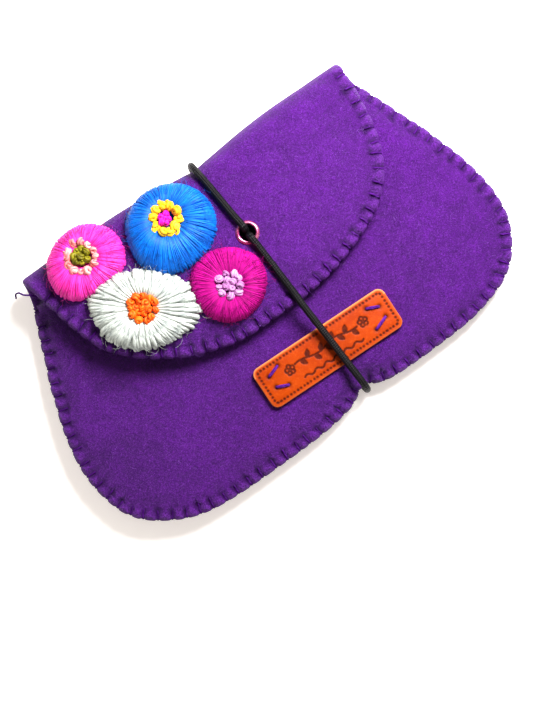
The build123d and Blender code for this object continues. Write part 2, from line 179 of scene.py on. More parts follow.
# ------------------------------------------------------------------------------------
# Mesh helpers
# ------------------------------------------------------------------------------------
def dense(points, step, closed=False):
    "a smooth line through the points, resampled evenly"
    p = [np.array(q, float) for q in points]
    n = len(p)
    out = []
    for i in range(n if closed else n - 1):
        p0 = p[(i - 1) % n] if closed or i else p[0]
        p1, p2 = p[i], p[(i + 1) % n]
        p3 = p[(i + 2) % n] if closed or i + 2 < n else p[-1]
        for k in range(16):
            t = k / 16
            out.append(0.5 * (2 * p1 + (p2 - p0) * t + (2 * p0 - 5 * p1 + 4 * p2 - p3) * t * t + (3 * p1 - p0 - 3 * p2 + p3) * t ** 3))
    if not closed:
        out.append(p[-1])
    out = np.array(out)
    ring = np.vstack([out, out[:1]]) if closed else out
    run = np.concatenate([[0], np.cumsum(np.linalg.norm(np.diff(ring, axis=0), axis=1))])
    count = max(int(round(run[-1] / step)), 3)
    at = np.linspace(0, run[-1], count + 1)[: count if closed else count + 1]
    return np.stack([np.interp(at, run, ring[:, k]) for k in range(ring.shape[1])], 1), run[-1]


def inside(points, loop):
    x, y = points[:, 0], points[:, 1]
    hit = np.zeros(len(points), bool)
    x0, y0 = loop[:, 0], loop[:, 1]
    x1, y1 = np.roll(x0, -1), np.roll(y0, -1)
    for a, b, c, d in zip(x0, y0, x1, y1):
        if b == d:
            continue
        cross = (b > y) != (d > y)
        hit ^= cross & (x < (c - a) * (y - b) / (d - b) + a)
    return hit


def normals_in(loop):
    t = np.roll(loop, -1, 0) - np.roll(loop, 1, 0)
    t /= np.linalg.norm(t, axis=1)[:, None]
    n = np.stack([-t[:, 1], t[:, 0]], 1)
    area = 0.5 * np.sum(loop[:, 0] * np.roll(loop[:, 1], -1) - np.roll(loop[:, 0], -1) * loop[:, 1])
    return n if area > 0 else -n


def tree_of(loop):
    tree = kdtree.KDTree(len(loop))
    for i, p in enumerate(loop):
        tree.insert((p[0], p[1], 0), i)
    tree.balance()
    return tree


def flat_net(loop, rings, grid, extra=(), holes=()):
    """Triangles over the area inside a closed loop: rows of points parallel to the edge, then an even net."""
    nin = normals_in(loop)
    tree = tree_of(loop)
    pts = [tuple(p) for p in loop]
    edges = [(i, (i + 1) % len(loop)) for i in range(len(loop))]
    for k, d in enumerate(rings):
        skip = 1 if d < 3.2 else 2
        for i in range(k % skip, len(loop), skip):
            q = loop[i] + nin[i] * d
            if tree.find((q[0], q[1], 0))[2] > d * 0.97:
                pts.append(tuple(q))
    for circle in holes:
        cx, cy, r, n = circle
        base = len(pts)
        for rr in (r, r + 0.35, r + 0.9):
            for j in range(n):
                a = 2 * math.pi * (j + 0.5 * (rr != r)) / n
                pts.append((cx + rr * math.cos(a), cy + rr * math.sin(a)))
        edges += [(base + j, base + (j + 1) % n) for j in range(n)]
    lo, hi = loop.min(0), loop.max(0)
    rows = int((hi[1] - lo[1]) / (grid * 0.866)) + 1
    cand = []
    for r in range(rows):
        y = lo[1] + r * grid * 0.866
        for c in range(int((hi[0] - lo[0]) / grid) + 1):
            cand.append((lo[0] + (c + 0.5 * (r % 2)) * grid, y))
    cand = np.array(cand)
    cand = cand[inside(cand, loop)]
    keep = []
    for q in cand:
        if tree.find((q[0], q[1], 0))[2] > rings[-1] + grid * 0.55 and all(math.hypot(q[0] - c[0], q[1] - c[1]) > c[2] + 0.9 + grid * .4 for c in holes):
            keep.append(tuple(q))
    pts += keep
    for line in extra:
        base = len(pts)
        pts += [tuple(p) for p in line]
        edges += [(base + i, base + (i + 1) % len(line)) for i in range(len(line))]
    v, e, f, ov, oe, of_ = delaunay_2d_cdt([Vector(p) for p in pts], edges, [], 1, 1e-4)
    v = np.array([[q[0], q[1]] for q in v])
    f = [tuple(t) for t in f]
    if holes:
        cen = np.array([v[list(t)].mean(0) for t in f])
        ok = np.ones(len(f), bool)
        for cx, cy, r, n in holes:
            ok &= np.hypot(cen[:, 0] - cx, cen[:, 1] - cy) > r * 0.97
        f = [t for t, k in zip(f, ok) if k]
    return v, f


def rim_facts(v, loop, sites, base=None):
    "for each point: distance to the edge, and how near it is to a stitch's groove, measured along the edge before it was pinched"
    base = loop if base is None else base
    tree = tree_of(loop)
    seg = np.linalg.norm(np.roll(base, -1, 0) - base, axis=1)
    along = np.roll(base, -1, 0) - np.roll(base, 1, 0)
    along /= np.linalg.norm(along, axis=1)[:, None]
    run = np.concatenate([[0], np.cumsum(seg)])[:-1]
    total = seg.sum()
    sites = np.sort(np.array(sites)) if len(sites) else np.array([-1e9])
    dist, near = np.zeros(len(v)), np.zeros(len(v))
    tang = np.roll(loop, -1, 0) - np.roll(loop, 1, 0)
    tang /= np.linalg.norm(tang, axis=1)[:, None]
    for i, q in enumerate(v):
        co, k, d = tree.find((q[0], q[1], 0))
        dist[i] = min(abs(np.dot(q - loop[k], [-along[k][1], along[k][0]])), d) if d < 3 else d
        s = run[k] + np.dot(q - base[k], along[k])
        j = np.searchsorted(sites, s)
        near[i] = min(abs(s - sites[min(max(j + o, 0), len(sites) - 1)]) for o in (-1, 0))
    return dist, near


def shell(name, v, f, place, half, dist, groove=None):
    "closes a flat net into a felt sheet with a rounded edge: place(i) gives the middle, half[i] the half thickness"
    mid = [place(float(q[0]), float(q[1]), i) for i, q in enumerate(v)]
    e = 0.25
    top, bot = [], []
    for i, q in enumerate(v):
        x, y = float(q[0]), float(q[1])
        if half[i] <= 0:
            top.append(mid[i]); bot.append(None); continue
        px = place(x + e, y, i) - mid[i]
        py = place(x, y + e, i) - mid[i]
        n = px.cross(py).normalized()
        top.append(mid[i] + n * half[i])
        bot.append(mid[i] - n * half[i])
    verts = [p * MM for p in top]
    index = {}
    for i, p in enumerate(bot):
        if p is None:
            index[i] = i
        else:
            index[i] = len(verts)
            verts.append(p * MM)
    faces = []
    for t in f:
        a = v[t[0]]; b = v[t[1]]; c = v[t[2]]
        ccw = (b[0] - a[0]) * (c[1] - a[1]) - (b[1] - a[1]) * (c[0] - a[0]) > 0
        t = t if ccw else t[::-1]
        faces.append(t)
        low = tuple(index[k] for k in t[::-1])
        if len(set(low) & set(t)) < 3:
            faces.append(low)
    ob = mesh_object(name, verts, faces)
    if groove is not None:
        # lighter fibre flecks on the raised rim between stitches: partly fuzz at the cut edge, partly painted highlight
        # on the puffs
        painted_edge_highlight = np.zeros(len(ob.data.vertices), np.float32)
        rim_fuzz_and_highlight = np.exp(-(np.maximum(np.asarray(dist) - 2.4, 0) / 1.3) ** 2) * (1 - groove) * (np.asarray(dist) < 6)
        painted_edge_highlight[: len(v)] = rim_fuzz_and_highlight
        for i, j in index.items():
            painted_edge_highlight[j] = rim_fuzz_and_highlight[i]
        ob.data.attributes.new("rim_fuzz_and_highlight", "FLOAT", "POINT").data.foreach_set("value", painted_edge_highlight)
        # painted shade: the groove mask darkens the felt in the stitch grooves and in the dip at their inner end
        both = np.zeros(len(ob.data.vertices), np.float32)
        both[: len(v)] = groove
        for i, j in index.items():
            both[j] = groove[i]
        ob.data.attributes.new("groove", "FLOAT", "POINT").data.foreach_set("value", both)
    return ob


def mesh_object(name, verts, faces, smooth=True):
    me = bpy.data.meshes.new(name)
    me.from_pydata([tuple(p) for p in verts], [], faces)
    me.validate()
    me.update()
    ob = bpy.data.objects.new(name, me)
    COL.objects.link(ob)
    if smooth:
        me.polygons.foreach_set("use_smooth", [True] * len(me.polygons))
    return ob


def tube(path, radius, sides=8, caps=True, lobes=0, twist=0.0, lobe=0.16, closed=False):
    """vertices, faces and uv of a tube along a list of points (mm). radius is a number or a list.
    lobes > 1 gives plied yarn: the section is lobed and turns along the length."""
    p = [Vector(q) for q in path]
    n = len(p)
    rad = radius if hasattr(radius, "__len__") else [radius] * n
    t = [(p[min(i + 1, n - 1)] - p[max(i - 1, 0)]).normalized() for i in range(n)]
    if closed:
        t = [(p[(i + 1) % n] - p[i - 1]).normalized() for i in range(n)]
    up = Vector((0, 0, 1)) if abs(t[0].z) < 0.9 else Vector((1, 0, 0))
    side = t[0].cross(up).normalized()
    verts, faces, uv = [], [], []
    run = 0.0
    for i in range(n):
        if i:
            side = (side - t[i] * side.dot(t[i])).normalized()
            run += (p[i] - p[i - 1]).length
        other = t[i].cross(side)
        for k in range(sides):
            a = 2 * math.pi * k / sides
            r = rad[i] * (1 + (lobe * math.cos(lobes * a - twist * run) if lobes else 0))
            verts.append((p[i] + (side * math.cos(a) + other * math.sin(a)) * r) * MM)
    rings = n if closed else n - 1
    length = sum((p[i + 1] - p[i]).length for i in range(n - 1))
    run = 0.0
    for i in range(rings):
        j = (i + 1) % n
        step = (p[j] - p[i]).length
        for k in range(sides):
            l = (k + 1) % sides
            faces.append((i * sides + k, i * sides + l, j * sides + l, j * sides + k))
            uv.append(((k / sides, run), ((k + 1) / sides, run), ((k + 1) / sides, run + step), (k / sides, run + step)))
        run += step
    if caps and not closed:
        for i, rev in ((0, True), (n - 1, False)):
            verts.append((p[i] + t[i] * rad[i] * (-0.35 if rev else 0.35)) * MM)
            c = len(verts) - 1
            for k in range(sides):
                l = (k + 1) % sides
                a, b = i * sides + k, i * sides + l
                faces.append((b, a, c) if rev else (a, b, c))
                uv.append(((0, 0), (0, 0), (0, 0)))
    return verts, faces, uv


def tubes_object(name, parts):
    "joins several tubes into one object with uv"
    verts, faces, uvs = [], [], []
    for pv, pf, pu in parts:
        base = len(verts)
        verts += pv
        faces += [tuple(base + k for k in f) for f in pf]
        uvs += pu
    me = bpy.data.meshes.new(name)
    me.from_pydata([tuple(p) for p in verts], [], faces)
    layer = me.uv_layers.new(name="along")
    flat = [c for f in uvs for q in f for c in q]
    layer.data.foreach_set("uv", flat)
    me.polygons.foreach_set("use_smooth", [True] * len(me.polygons))
    me.update()
    ob = bpy.data.objects.new(name, me)
    COL.objects.link(ob)
    return ob


def smooth_line(points, step=0.6):
    return [Vector(q) for q in dense([tuple(p) for p in points], step)[0]]


# ------------------------------------------------------------------------------------
# Materials
# ------------------------------------------------------------------------------------
def lin(r, g, b):
    f = lambda c: (c / 255 / 12.92) if c / 255 <= 0.04045 else ((c / 255 + 0.055) / 1.055) ** 2.4
    return (f(r), f(g), f(b), 1.0)


class Mat:
    "a small helper that wires up a node material"

    def __init__(self, name):
        self.m = bpy.data.materials.new(name)
        self.m.use_nodes = True
        self.n, self.l = self.m.node_tree.nodes, self.m.node_tree.links
        self.b = self.n["Principled BSDF"]

    def put(self, node, key, value):
        if isinstance(value, bpy.types.NodeSocket):
            self.l.new(value, node.inputs[key])
        else:
            node.inputs[key].default_value = value

    def noise(self, vec, scale, detail=3.0, rough=0.55, dist=0.0):
        nd = self.n.new("ShaderNodeTexNoise")
        self.put(nd, "Vector", vec)
        for k, v in (("Scale", scale), ("Detail", detail), ("Roughness", rough), ("Distortion", dist)):
            nd.inputs[k].default_value = v
        return nd.outputs["Fac"]

    def math(self, op, a, b=None, c=None, clamp=False):
        nd = self.n.new("ShaderNodeMath")
        nd.operation = op
        nd.use_clamp = clamp
        for i, v in enumerate((a, b, c)):
            if v is not None:
                self.put(nd, i, v)
        return nd.outputs[0]

    def span(self, value, a, b, c=0.0, d=1.0):
        nd = self.n.new("ShaderNodeMapRange")
        self.put(nd, "Value", value)
        for k, v in (("From Min", a), ("From Max", b), ("To Min", c), ("To Max", d)):
            nd.inputs[k].default_value = v
        return nd.outputs[0]

    def mix(self, fac, a, b, mode="MIX"):
        nd = self.n.new("ShaderNodeMix")
        nd.data_type = "RGBA"
        nd.blend_type = mode
        self.put(nd, 0, fac)
        self.put(nd, 6, a)
        self.put(nd, 7, b)
        return nd.outputs[2]

    def coords(self, kind="Object"):
        return self.n.new("ShaderNodeTexCoord").outputs[kind]

    def scaled(self, vec, x, y, z):
        nd = self.n.new("ShaderNodeMapping")
        self.put(nd, "Vector", vec)
        nd.inputs["Scale"].default_value = (x, y, z)
        return nd.outputs[0]

    def attr(self, name):
        nd = self.n.new("ShaderNodeAttribute")
        nd.attribute_name = name
        return nd.outputs["Fac"]

    def bump(self, height, strength, distance):
        nd = self.n.new("ShaderNodeBump")
        nd.inputs["Strength"].default_value = strength
        nd.inputs["Distance"].default_value = distance
        self.put(nd, "Height", height)
        self.put(self.b, "Normal", nd.outputs[0])


def felt(name, lit, mid, dark, hair, deep, sheen=0.35, tint=(0.6, 0.45, 0.85, 1), streak=0.5):
    m = Mat(name)
    o = m.coords()
    cloud = m.noise(o, 60, 3, 0.6)
    blotch = m.noise(o, 230, 4, 0.65, 0.5)
    nap = m.noise(o, 1650, 5, 0.78, 0.8)
    wisp = m.noise(m.scaled(o, 1.0, 2.2, 1.0), 300, 2, 0.5, 3.5)
    wisp2 = m.noise(m.scaled(o, 2.4, 1.0, 1.0), 260, 2, 0.5, 4.0)
    ridge = m.span(m.math("ABSOLUTE", m.math("SUBTRACT", wisp, 0.5)), 0.0, 0.026, 1.0, 0.0)
    ridge2 = m.span(m.math("ABSOLUTE", m.math("SUBTRACT", wisp2, 0.52)), 0.0, 0.018, 1.0, 0.0)
    hairs = m.math("MULTIPLY", m.math("MAXIMUM", ridge, ridge2), m.span(nap, 0.4, 0.6), clamp=True)
    lay = m.noise(m.scaled(o, 1.0, 0.28, 1.0), 1300, 3, 0.6, 0.4)
    lay2 = m.noise(m.scaled(o, 0.30, 1.0, 1.0), 1150, 3, 0.6, 0.6)
    c = m.mix(m.span(blotch, 0.24, 0.76), mid, lit)
    c = m.mix(m.span(m.math("MAXIMUM", lay, lay2), 0.58, 0.74, 0.0, 0.45), c, lit)
    c = m.mix(m.span(nap, 0.62, 0.38, 0.0, 0.72), c, dark)
    c = m.mix(m.span(cloud, 0.38, 0.66, 0.0, 0.30), c, dark)
    c = m.mix(m.math("MULTIPLY", hairs, streak), c, hair)
    # lighter fibre flecks on the rim: partly fuzz at the cut edge, partly painted highlight on the raised puffs between
    # stitches
    c = m.mix(m.math("MULTIPLY", m.attr("rim_fuzz_and_highlight"), m.span(nap, 0.42, 0.60, 0.0, 0.26)), c, hair)
    # painted shade: the felt darkens toward the deep colour in the stitch grooves and in the dip at their inner end
    c = m.mix(m.math("MULTIPLY", m.attr("groove"), 0.85), c, deep)
    m.put(m.b, "Base Color", c)
    m.put(m.b, "Roughness", m.span(nap, 0.3, 0.7, 0.52, 0.72))
    m.b.inputs["Specular IOR Level"].default_value = 0.17
    m.b.inputs["Sheen Weight"].default_value = sheen
    m.b.inputs["Sheen Roughness"].default_value = 0.55
    m.b.inputs["Sheen Tint"].default_value = tint
    h = m.math("ADD", m.math("MULTIPLY", nap, 0.8), m.math("ADD", m.math("MULTIPLY", blotch, 0.9), m.math("MULTIPLY", hairs, 0.16)))
    m.bump(h, 1.0, 0.0016)
    return m.m


def yarn(name, light, mid, dark, plies=2, per_mm=0.32, gloss=0.35, sheen=0.2, depth=0.00025, tone=0.35):
    "twisted thread: ply grooves and fibre streaks that run with the twist, with every strand a slightly different tone"
    m = Mat(name)
    uv = m.coords("UV")
    sep = m.n.new("ShaderNodeSeparateXYZ")
    m.put(sep, 0, uv)
    u, v = sep.outputs[0], sep.outputs[1]
    turn = m.math("ADD", m.math("MULTIPLY", u, float(plies)), m.math("MULTIPLY", v, per_mm))
    wave = m.math("SINE", m.math("MULTIPLY", turn, 2 * math.pi))
    groove = m.span(wave, -1, 1)
    comb = m.n.new("ShaderNodeCombineXYZ")
    m.put(comb, 0, m.math("MULTIPLY", turn, 7.0))
    m.put(comb, 1, m.math("MULTIPLY", v, 0.35))
    m.put(comb, 2, m.math("MULTIPLY", m.attr("tone"), 40.0))
    fibre = m.noise(comb.outputs[0], 1.0, 3, 0.6)
    t = m.attr("tone")
    c = m.mix(m.span(fibre, 0.35, 0.68), mid, light)
    # painted shade: the ply grooves are darkened toward the dark colour
    c = m.mix(m.span(groove, 0.36, 0.0, 0.0, 0.6), c, dark)
    c = m.mix(m.math("MULTIPLY", m.span(t, 0.55, 1.0), tone), c, light)
    c = m.mix(m.math("MULTIPLY", m.span(t, 0.45, 0.0), tone), c, dark)
    m.put(m.b, "Base Color", c)
    m.put(m.b, "Roughness", m.span(fibre, 0.3, 0.7, 0.8 - gloss, 0.95 - gloss * 0.7))
    m.b.inputs["Specular IOR Level"].default_value = 0.08 + gloss * 0.3
    m.b.inputs["Sheen Weight"].default_value = sheen
    m.b.inputs["Sheen Roughness"].default_value = 0.5
    m.b.inputs["Sheen Tint"].default_value = light
    m.bump(m.math("ADD", m.math("MULTIPLY", groove, 0.7), m.math("MULTIPLY", fibre, 0.6)), 0.8, depth)
    return m.m


def leather(name):
    m = Mat(name)
    o = m.coords()
    vor = m.n.new("ShaderNodeTexVoronoi")
    vor.feature = "DISTANCE_TO_EDGE"
    m.put(vor, "Vector", m.mix(0.0016, o, m.n.new("ShaderNodeTexNoise").outputs["Color"], "ADD"))
    vor.inputs["Scale"].default_value = 1500
    grain = m.span(vor.outputs["Distance"], 0.0, 0.22)
    cloud = m.noise(o, 55, 4, 0.6, 0.6)
    fine = m.noise(o, 900, 4, 0.7)
    painted_edge_highlight = m.attr("painted_edge_highlight")
    burn_and_hole_shade = m.attr("burn_and_hole_shade")
    c = m.mix(m.span(cloud, 0.35, 0.68), lin(154, 53, 0), lin(130, 36, 0))
    c = m.mix(m.span(fine, 0.5, 0.72, 0.0, 0.35), c, lin(190, 80, 6))
    c = m.mix(m.span(grain, 0.6, 0.0, 0.0, 0.30), c, lin(146, 38, 2))
    # painted highlight along the label's edge, strongest on the upper edge
    c = m.mix(m.math("MULTIPLY", painted_edge_highlight, 0.55), c, lin(226, 150, 92))
    # dark brown: the burnt sprig and dashes, and painted shade in the tack holes
    c = m.mix(m.math("MULTIPLY", burn_and_hole_shade, m.span(fine, 0.25, 0.7, 1.0, 0.72)), c, lin(38, 6, 4))
    m.put(m.b, "Base Color", c)
    m.put(m.b, "Roughness", m.math("ADD", m.span(fine, 0.3, 0.7, 0.40, 0.56), m.math("MULTIPLY", burn_and_hole_shade, 0.2)))
    m.b.inputs["Specular IOR Level"].default_value = 0.08
    m.bump(m.math("ADD", m.math("MULTIPLY", grain, 0.5), m.math("MULTIPLY", fine, 0.4)), 0.45, 0.00012)
    return m.m


def metal(name, base, light):
    m = Mat(name)
    o = m.coords()
    wear = m.noise(o, 420, 4, 0.65)
    fine = m.noise(o, 2600, 2, 0.6)
    m.put(m.b, "Base Color", m.mix(m.span(wear, 0.42, 0.66), base, light))
    m.put(m.b, "Roughness", m.span(fine, 0.3, 0.7, 0.20, 0.36))
    m.b.inputs["Metallic"].default_value = 0.75
    m.b.inputs["Coat Weight"].default_value = 0.4
    m.bump(fine, 0.15, 0.00004)
    return m.m


def braid(name):
    "round braided elastic: two sets of strands that cross over"
    m = Mat(name)
    sep = m.n.new("ShaderNodeSeparateXYZ")
    m.put(sep, 0, m.coords("UV"))
    u, v = sep.outputs[0], sep.outputs[1]
    a = m.math("SINE", m.math("MULTIPLY", m.math("ADD", m.math("MULTIPLY", u, 6.0), m.math("MULTIPLY", v, 0.62)), 2 * math.pi))
    b = m.math("SINE", m.math("MULTIPLY", m.math("SUBTRACT", m.math("MULTIPLY", u, 6.0), m.math("MULTIPLY", v, 0.62)), 2 * math.pi))
    weave = m.span(m.math("MULTIPLY", a, b), -1, 1)
    fibre = m.noise(m.scaled(m.coords("UV"), 60, 4, 1), 1.0, 3, 0.6)
    dust = m.noise(m.coords(), 700, 3, 0.7)
    # painted shade in the braid's hollows: the low parts of the weave are darker
    c = m.mix(m.span(weave, 0.3, 0.9), lin(3, 2, 4), lin(13, 11, 15))
    c = m.mix(m.span(fibre, 0.6, 0.85, 0.0, 0.22), c, lin(56, 52, 62))
    c = m.mix(m.span(dust, 0.7, 0.8, 0.0, 0.3), c, lin(120, 110, 130))
    m.put(m.b, "Base Color", c)
    m.put(m.b, "Roughness", m.span(fibre, 0.3, 0.7, 0.34, 0.55))
    m.b.inputs["Specular IOR Level"].default_value = 0.15
    m.bump(weave, 0.8, 0.0003)
    return m.m


M_FELT = felt("felt_purple", lin(104, 18, 157), lin(73, 2, 114), lin(29, 0, 52), lin(152, 70, 210), lin(26, 0, 46), 0.01, (0.6, 0.45, 0.85, 1), 0.62)
M_LINE = felt("felt_lining", lin(104, 32, 156), lin(76, 12, 118), lin(38, 2, 66), lin(130, 72, 184), lin(34, 2, 60), 0.03)
M_LEAF = felt("felt_leaf", lin(236, 226, 242), lin(222, 208, 232), lin(190, 172, 206), lin(250, 246, 252), lin(170, 150, 190), 0.1, (1, 1, 1, 1))
M_THREAD = yarn("thread_purple", lin(70, 14, 110), lin(48, 4, 80), lin(22, 0, 42), 2, 0.42, 0.02, 0.0)
M_TACK = yarn("thread_tack", lin(92, 28, 140), lin(64, 12, 102), lin(28, 2, 52), 2, 0.42, 0.1, 0.05)
M_LABEL = leather("leather_tan")
M_METAL = metal("metal_rose", lin(156, 52, 104), lin(206, 118, 150))
M_CORD = braid("elastic_black")


# ------------------------------------------------------------------------------------
# Outer felt: one sheet from the bottom of the back, round the fold, to the edge of the flap
# ------------------------------------------------------------------------------------
def finish_piece(ob, mat, body=None, stands_for=()):
    ob.data.materials.clear()
    ob.data.materials.append(mat)
    if body:
        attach(ob, body)
    if stands_for:
        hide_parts(*stands_for)
    return ob


def shoelace(loop):
    x, y = loop[:, 0], loop[:, 1]
    return abs(0.5 * np.sum(x * np.roll(y, -1) - np.roll(x, -1) * y))


def ring_walk(points, closed):
    "fine line round an edge, with the way in from each point"
    line, length = dense(points, 0.25, closed)
    t = np.gradient(line, axis=0)
    t /= np.linalg.norm(t, axis=1)[:, None]
    n = np.stack([-t[:, 1], t[:, 0]], 1)
    c = line.mean(0)
    mid = len(line) // 2
    if np.dot(c - line[mid], n[mid]) < 0:
        n = -n
    return line, n, length


RIM_Y = 43.6
POUCH_EDGE = [(72.1, 43.6)] + [p for p in RIM if p[1] < 43.0] + [(-72.1, 43.6)]
FLAP_EDGE = [(69.0, 49.8), (68.9, 47.0), (68.6, 43.2)] + [p for p in FLAP_RIM if p[1] < 43.0] + [(-66.2, 43.2)]
P_LINE, P_IN, P_LEN = ring_walk(POUCH_EDGE, False)
F_LINE, F_IN, F_LEN = ring_walk(FLAP_EDGE, False)


def stitch_places(line, n, length, lead, tail, seed):
    rnd = random.Random(seed)
    count = int(round((length - lead - tail) / PITCH))
    out = []
    for i in range(count + 1):
        s = lead + (length - lead - tail) * i / count + rnd.uniform(-0.45, 0.45)
        k = int(min(max(s / 0.25, 0), len(line) - 1))
        out.append((k, line[k], n[k]))
    return out


P_SITES = stitch_places(P_LINE, P_IN, P_LEN, 1.2, 1.2, 3)
F_SITES = stitch_places(F_LINE, F_IN, F_LEN, 1.5, 1.5, 5)


def off_cord(p, w=2.2):
    return abs(p[0] - cord_x(p[1])) > w


def back_cord_x(y):
    return 4.6 + 7.0 * (53.1 - y) / 101.2


def pattern_loop():
    right = [(72.3, V1)]
    back = [p for p in RIM if p[1] < V1 - 1]
    fold_l = [(-72.3, V1), (-70.2, V1 + FOLD_LEN * 0.25), (-69.2, V1 + FOLD_LEN * 0.5), (-68.0, V1 + FOLD_LEN * 0.75), (-66.2, V2)]
    flap = [(x, V2 + FOLD_C - y) for x, y in reversed(FLAP_RIM) if y < FOLD_C - 1]
    fold_r = [(68.6, V2), (69.0, V1 + FOLD_LEN * 0.75), (69.2, V1 + FOLD_LEN * 0.5), (70.6, V1 + FOLD_LEN * 0.25)]
    return right + back + fold_l + flap + fold_r


def loop_sites(loop, marks):
    seg = np.linalg.norm(np.roll(loop, -1, 0) - loop, axis=1)
    run = np.concatenate([[0], np.cumsum(seg)])[:-1]
    tree = tree_of(loop)
    out = []
    for q in marks:
        co, k, d = tree.find((q[0], q[1], 0))
        if d < 3:
            out.append(run[k])
    return out


def pinch(loop, near, deep):
    nin = normals_in(loop)
    return loop + nin * (deep * np.exp(-(near / 0.75) ** 2))[:, None]


RINGS = [0.10, 0.32, 0.7, 1.15, 1.8, 2.6, 3.6, 4.8, 6.0, 7.4]
STEP = 0.62
GRID = 2.3


def felt_half(dist, t):
    h = t / 2
    k = 1 - np.minimum(dist, h * 1.15) / (h * 1.15)
    return h * np.sqrt(np.maximum(1 - k ** 2, 0.0)) * (dist > 0.03)


def groove_shade_of(dist, near):
    "how deep a place lies in a stitch's groove, or in the dip at the inner end of the stitches"
    slot = np.exp(-(near / 0.64) ** 2) * (1 - np.clip((dist - 3.9) / 0.9, 0, 1))
    dip = 0.20 * np.exp(-((dist - 4.5) / 0.7) ** 2) * np.exp(-(near / 1.8) ** 2)
    return np.clip(slot + dip, 0, 1)


def outer_felt():
    loop, _ = dense(pattern_loop(), STEP, True)
    marks = [tuple(p) for _, p, _ in P_SITES] + [(p[0], V2 + FOLD_C - p[1]) for _, p, _ in F_SITES]
    sites = loop_sites(loop, marks)
    _, near = rim_facts(loop, loop, sites)
    cut = pinch(loop, near, 0.75)
    v, f = flat_net(cut, RINGS, GRID, holes=[(EYE[0], V2 + FOLD_C - EYE[1], 2.9, 26)])
    dist, near = rim_facts(v, cut, sites, loop)
    dist[: len(cut)] = 0.0
    half = felt_half(dist, FELT)
    sink = 0.95 * np.exp(-(near / 0.72) ** 2) * (1 - np.clip((dist - 3.8) / 1.0, 0, 1))
    half = np.where(half > 0, np.maximum(half - sink * 0.6, half * 0.5), 0)

    def place(x, y, i):
        p = outer_mid(x, y)
        d = dist[i]
        if y <= V1:
            w = back_cord_x(y)
            p.z += 2.75 * (1 - sstep(1.6, 6.0, abs(x - w)))
            p.z += 0.25 * sstep(0, 5, d) * soft(x, y, 0.06, 2.0)
        elif y < V1 + 0.7 * FOLD_LEN:
            pass
        else:
            p.z += sstep(V1 + 0.7 * FOLD_LEN, V1 + 0.84 * FOLD_LEN, y) * (0.62 * sstep(0.2, 1.8, d) * (1 - sstep(2.6, 5.5, d)) * (1 - math.exp(-(near[i] / 1.5) ** 2)) - 0.45 * bump(d - 4.6, 1.1) - 0.30 * (1 - sstep(0, 2.0, d)) - sink[i] * 0.5 * sstep(0.2, 1.2, d))
        return p

    ob = shell("outer_felt", v, f, place, half, dist, groove_shade_of(dist, near))
    finish_piece(ob, M_FELT, None, ("back_felt", "flap_felt"))
    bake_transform(ob)
    area = shoelace(cut) * 1e-6
    w, l = np.ptp(cut[:, 0]) * MM, np.ptp(cut[:, 1]) * MM
    return (w, l, area)


def inner_lining():
    def inset(points, d):
        loop, _ = dense(points, STEP * 1.6, True)
        return loop + normals_in(loop) * d
    loop, _ = dense(pattern_loop(), STEP * 1.6, True)
    nin = normals_in(loop)
    lim = np.array([5.6 if q[1] < V1 + 4 else 1.5 + 4.1 * (1 - sstep(V1 + 4, V2 - 4, q[1])) for q in loop])
    cut = loop + nin * lim[:, None]
    cut, _ = dense([tuple(q) for q in cut[::4]], STEP * 1.6, True)
    v, f = flat_net(cut, [0.12, 0.5, 1.2, 2.4], GRID * 1.25, holes=[(EYE[0], V2 + FOLD_C - EYE[1], 2.9, 26)])
    dist, near = rim_facts(v, cut, [])
    dist[: len(cut)] = 0.0
    half = felt_half(dist, LINING)

    def place(x, y, i):
        def at(a, b):
            p = outer_mid(a, b)
            if b <= V1:
                p.z += 2.75 * (1 - sstep(1.6, 6.0, abs(a - back_cord_x(b))))
            return p
        p = at(x, y)
        nx = at(x + 0.3, y) - p
        ny = at(x, y + 0.3) - p
        n = nx.cross(ny).normalized()
        return p + n * (FELT / 2 + LINING / 2 + 0.06) * (1 if n.dot(Vector((0, FOLD_C - 5, 11)) - p) > 0 else -1) if V1 - 6 < y < V2 + 6 else \
            p + Vector((0, 0, (FELT / 2 + LINING / 2 + 0.06) * (1 if y <= V1 else -1)))

    ob = shell("inner_lining", v, f, place, half, dist)
    finish_piece(ob, M_LINE, None, ("pouch_lining", "flap_lining"))
    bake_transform(ob)
    area = shoelace(cut) * 1e-6
    w, l = np.ptp(cut[:, 0]) * MM, np.ptp(cut[:, 1]) * MM
    return (w, l, area)


# ------------------------------------------------------------------------------------
# Front of the pouch
# ------------------------------------------------------------------------------------
RIM_TREE = tree_of(P_LINE)


def rim_gap(x, y):
    co, k, d = RIM_TREE.find((x, y, 0))
    return d if np.dot(np.array([x, y]) - P_LINE[k], P_IN[k]) > 0 else 0.0


def front_face(x, y, d=None):
    "middle of the front felt, drawn down onto the back near the sewn edge"
    d = rim_gap(x, y) if d is None else d
    zc = back_mid(x, y) + FELT + 0.05
    k = sstep(-1.0, 8.0, d)
    return zc + (max(front_mid(x, y), zc) - zc) * k


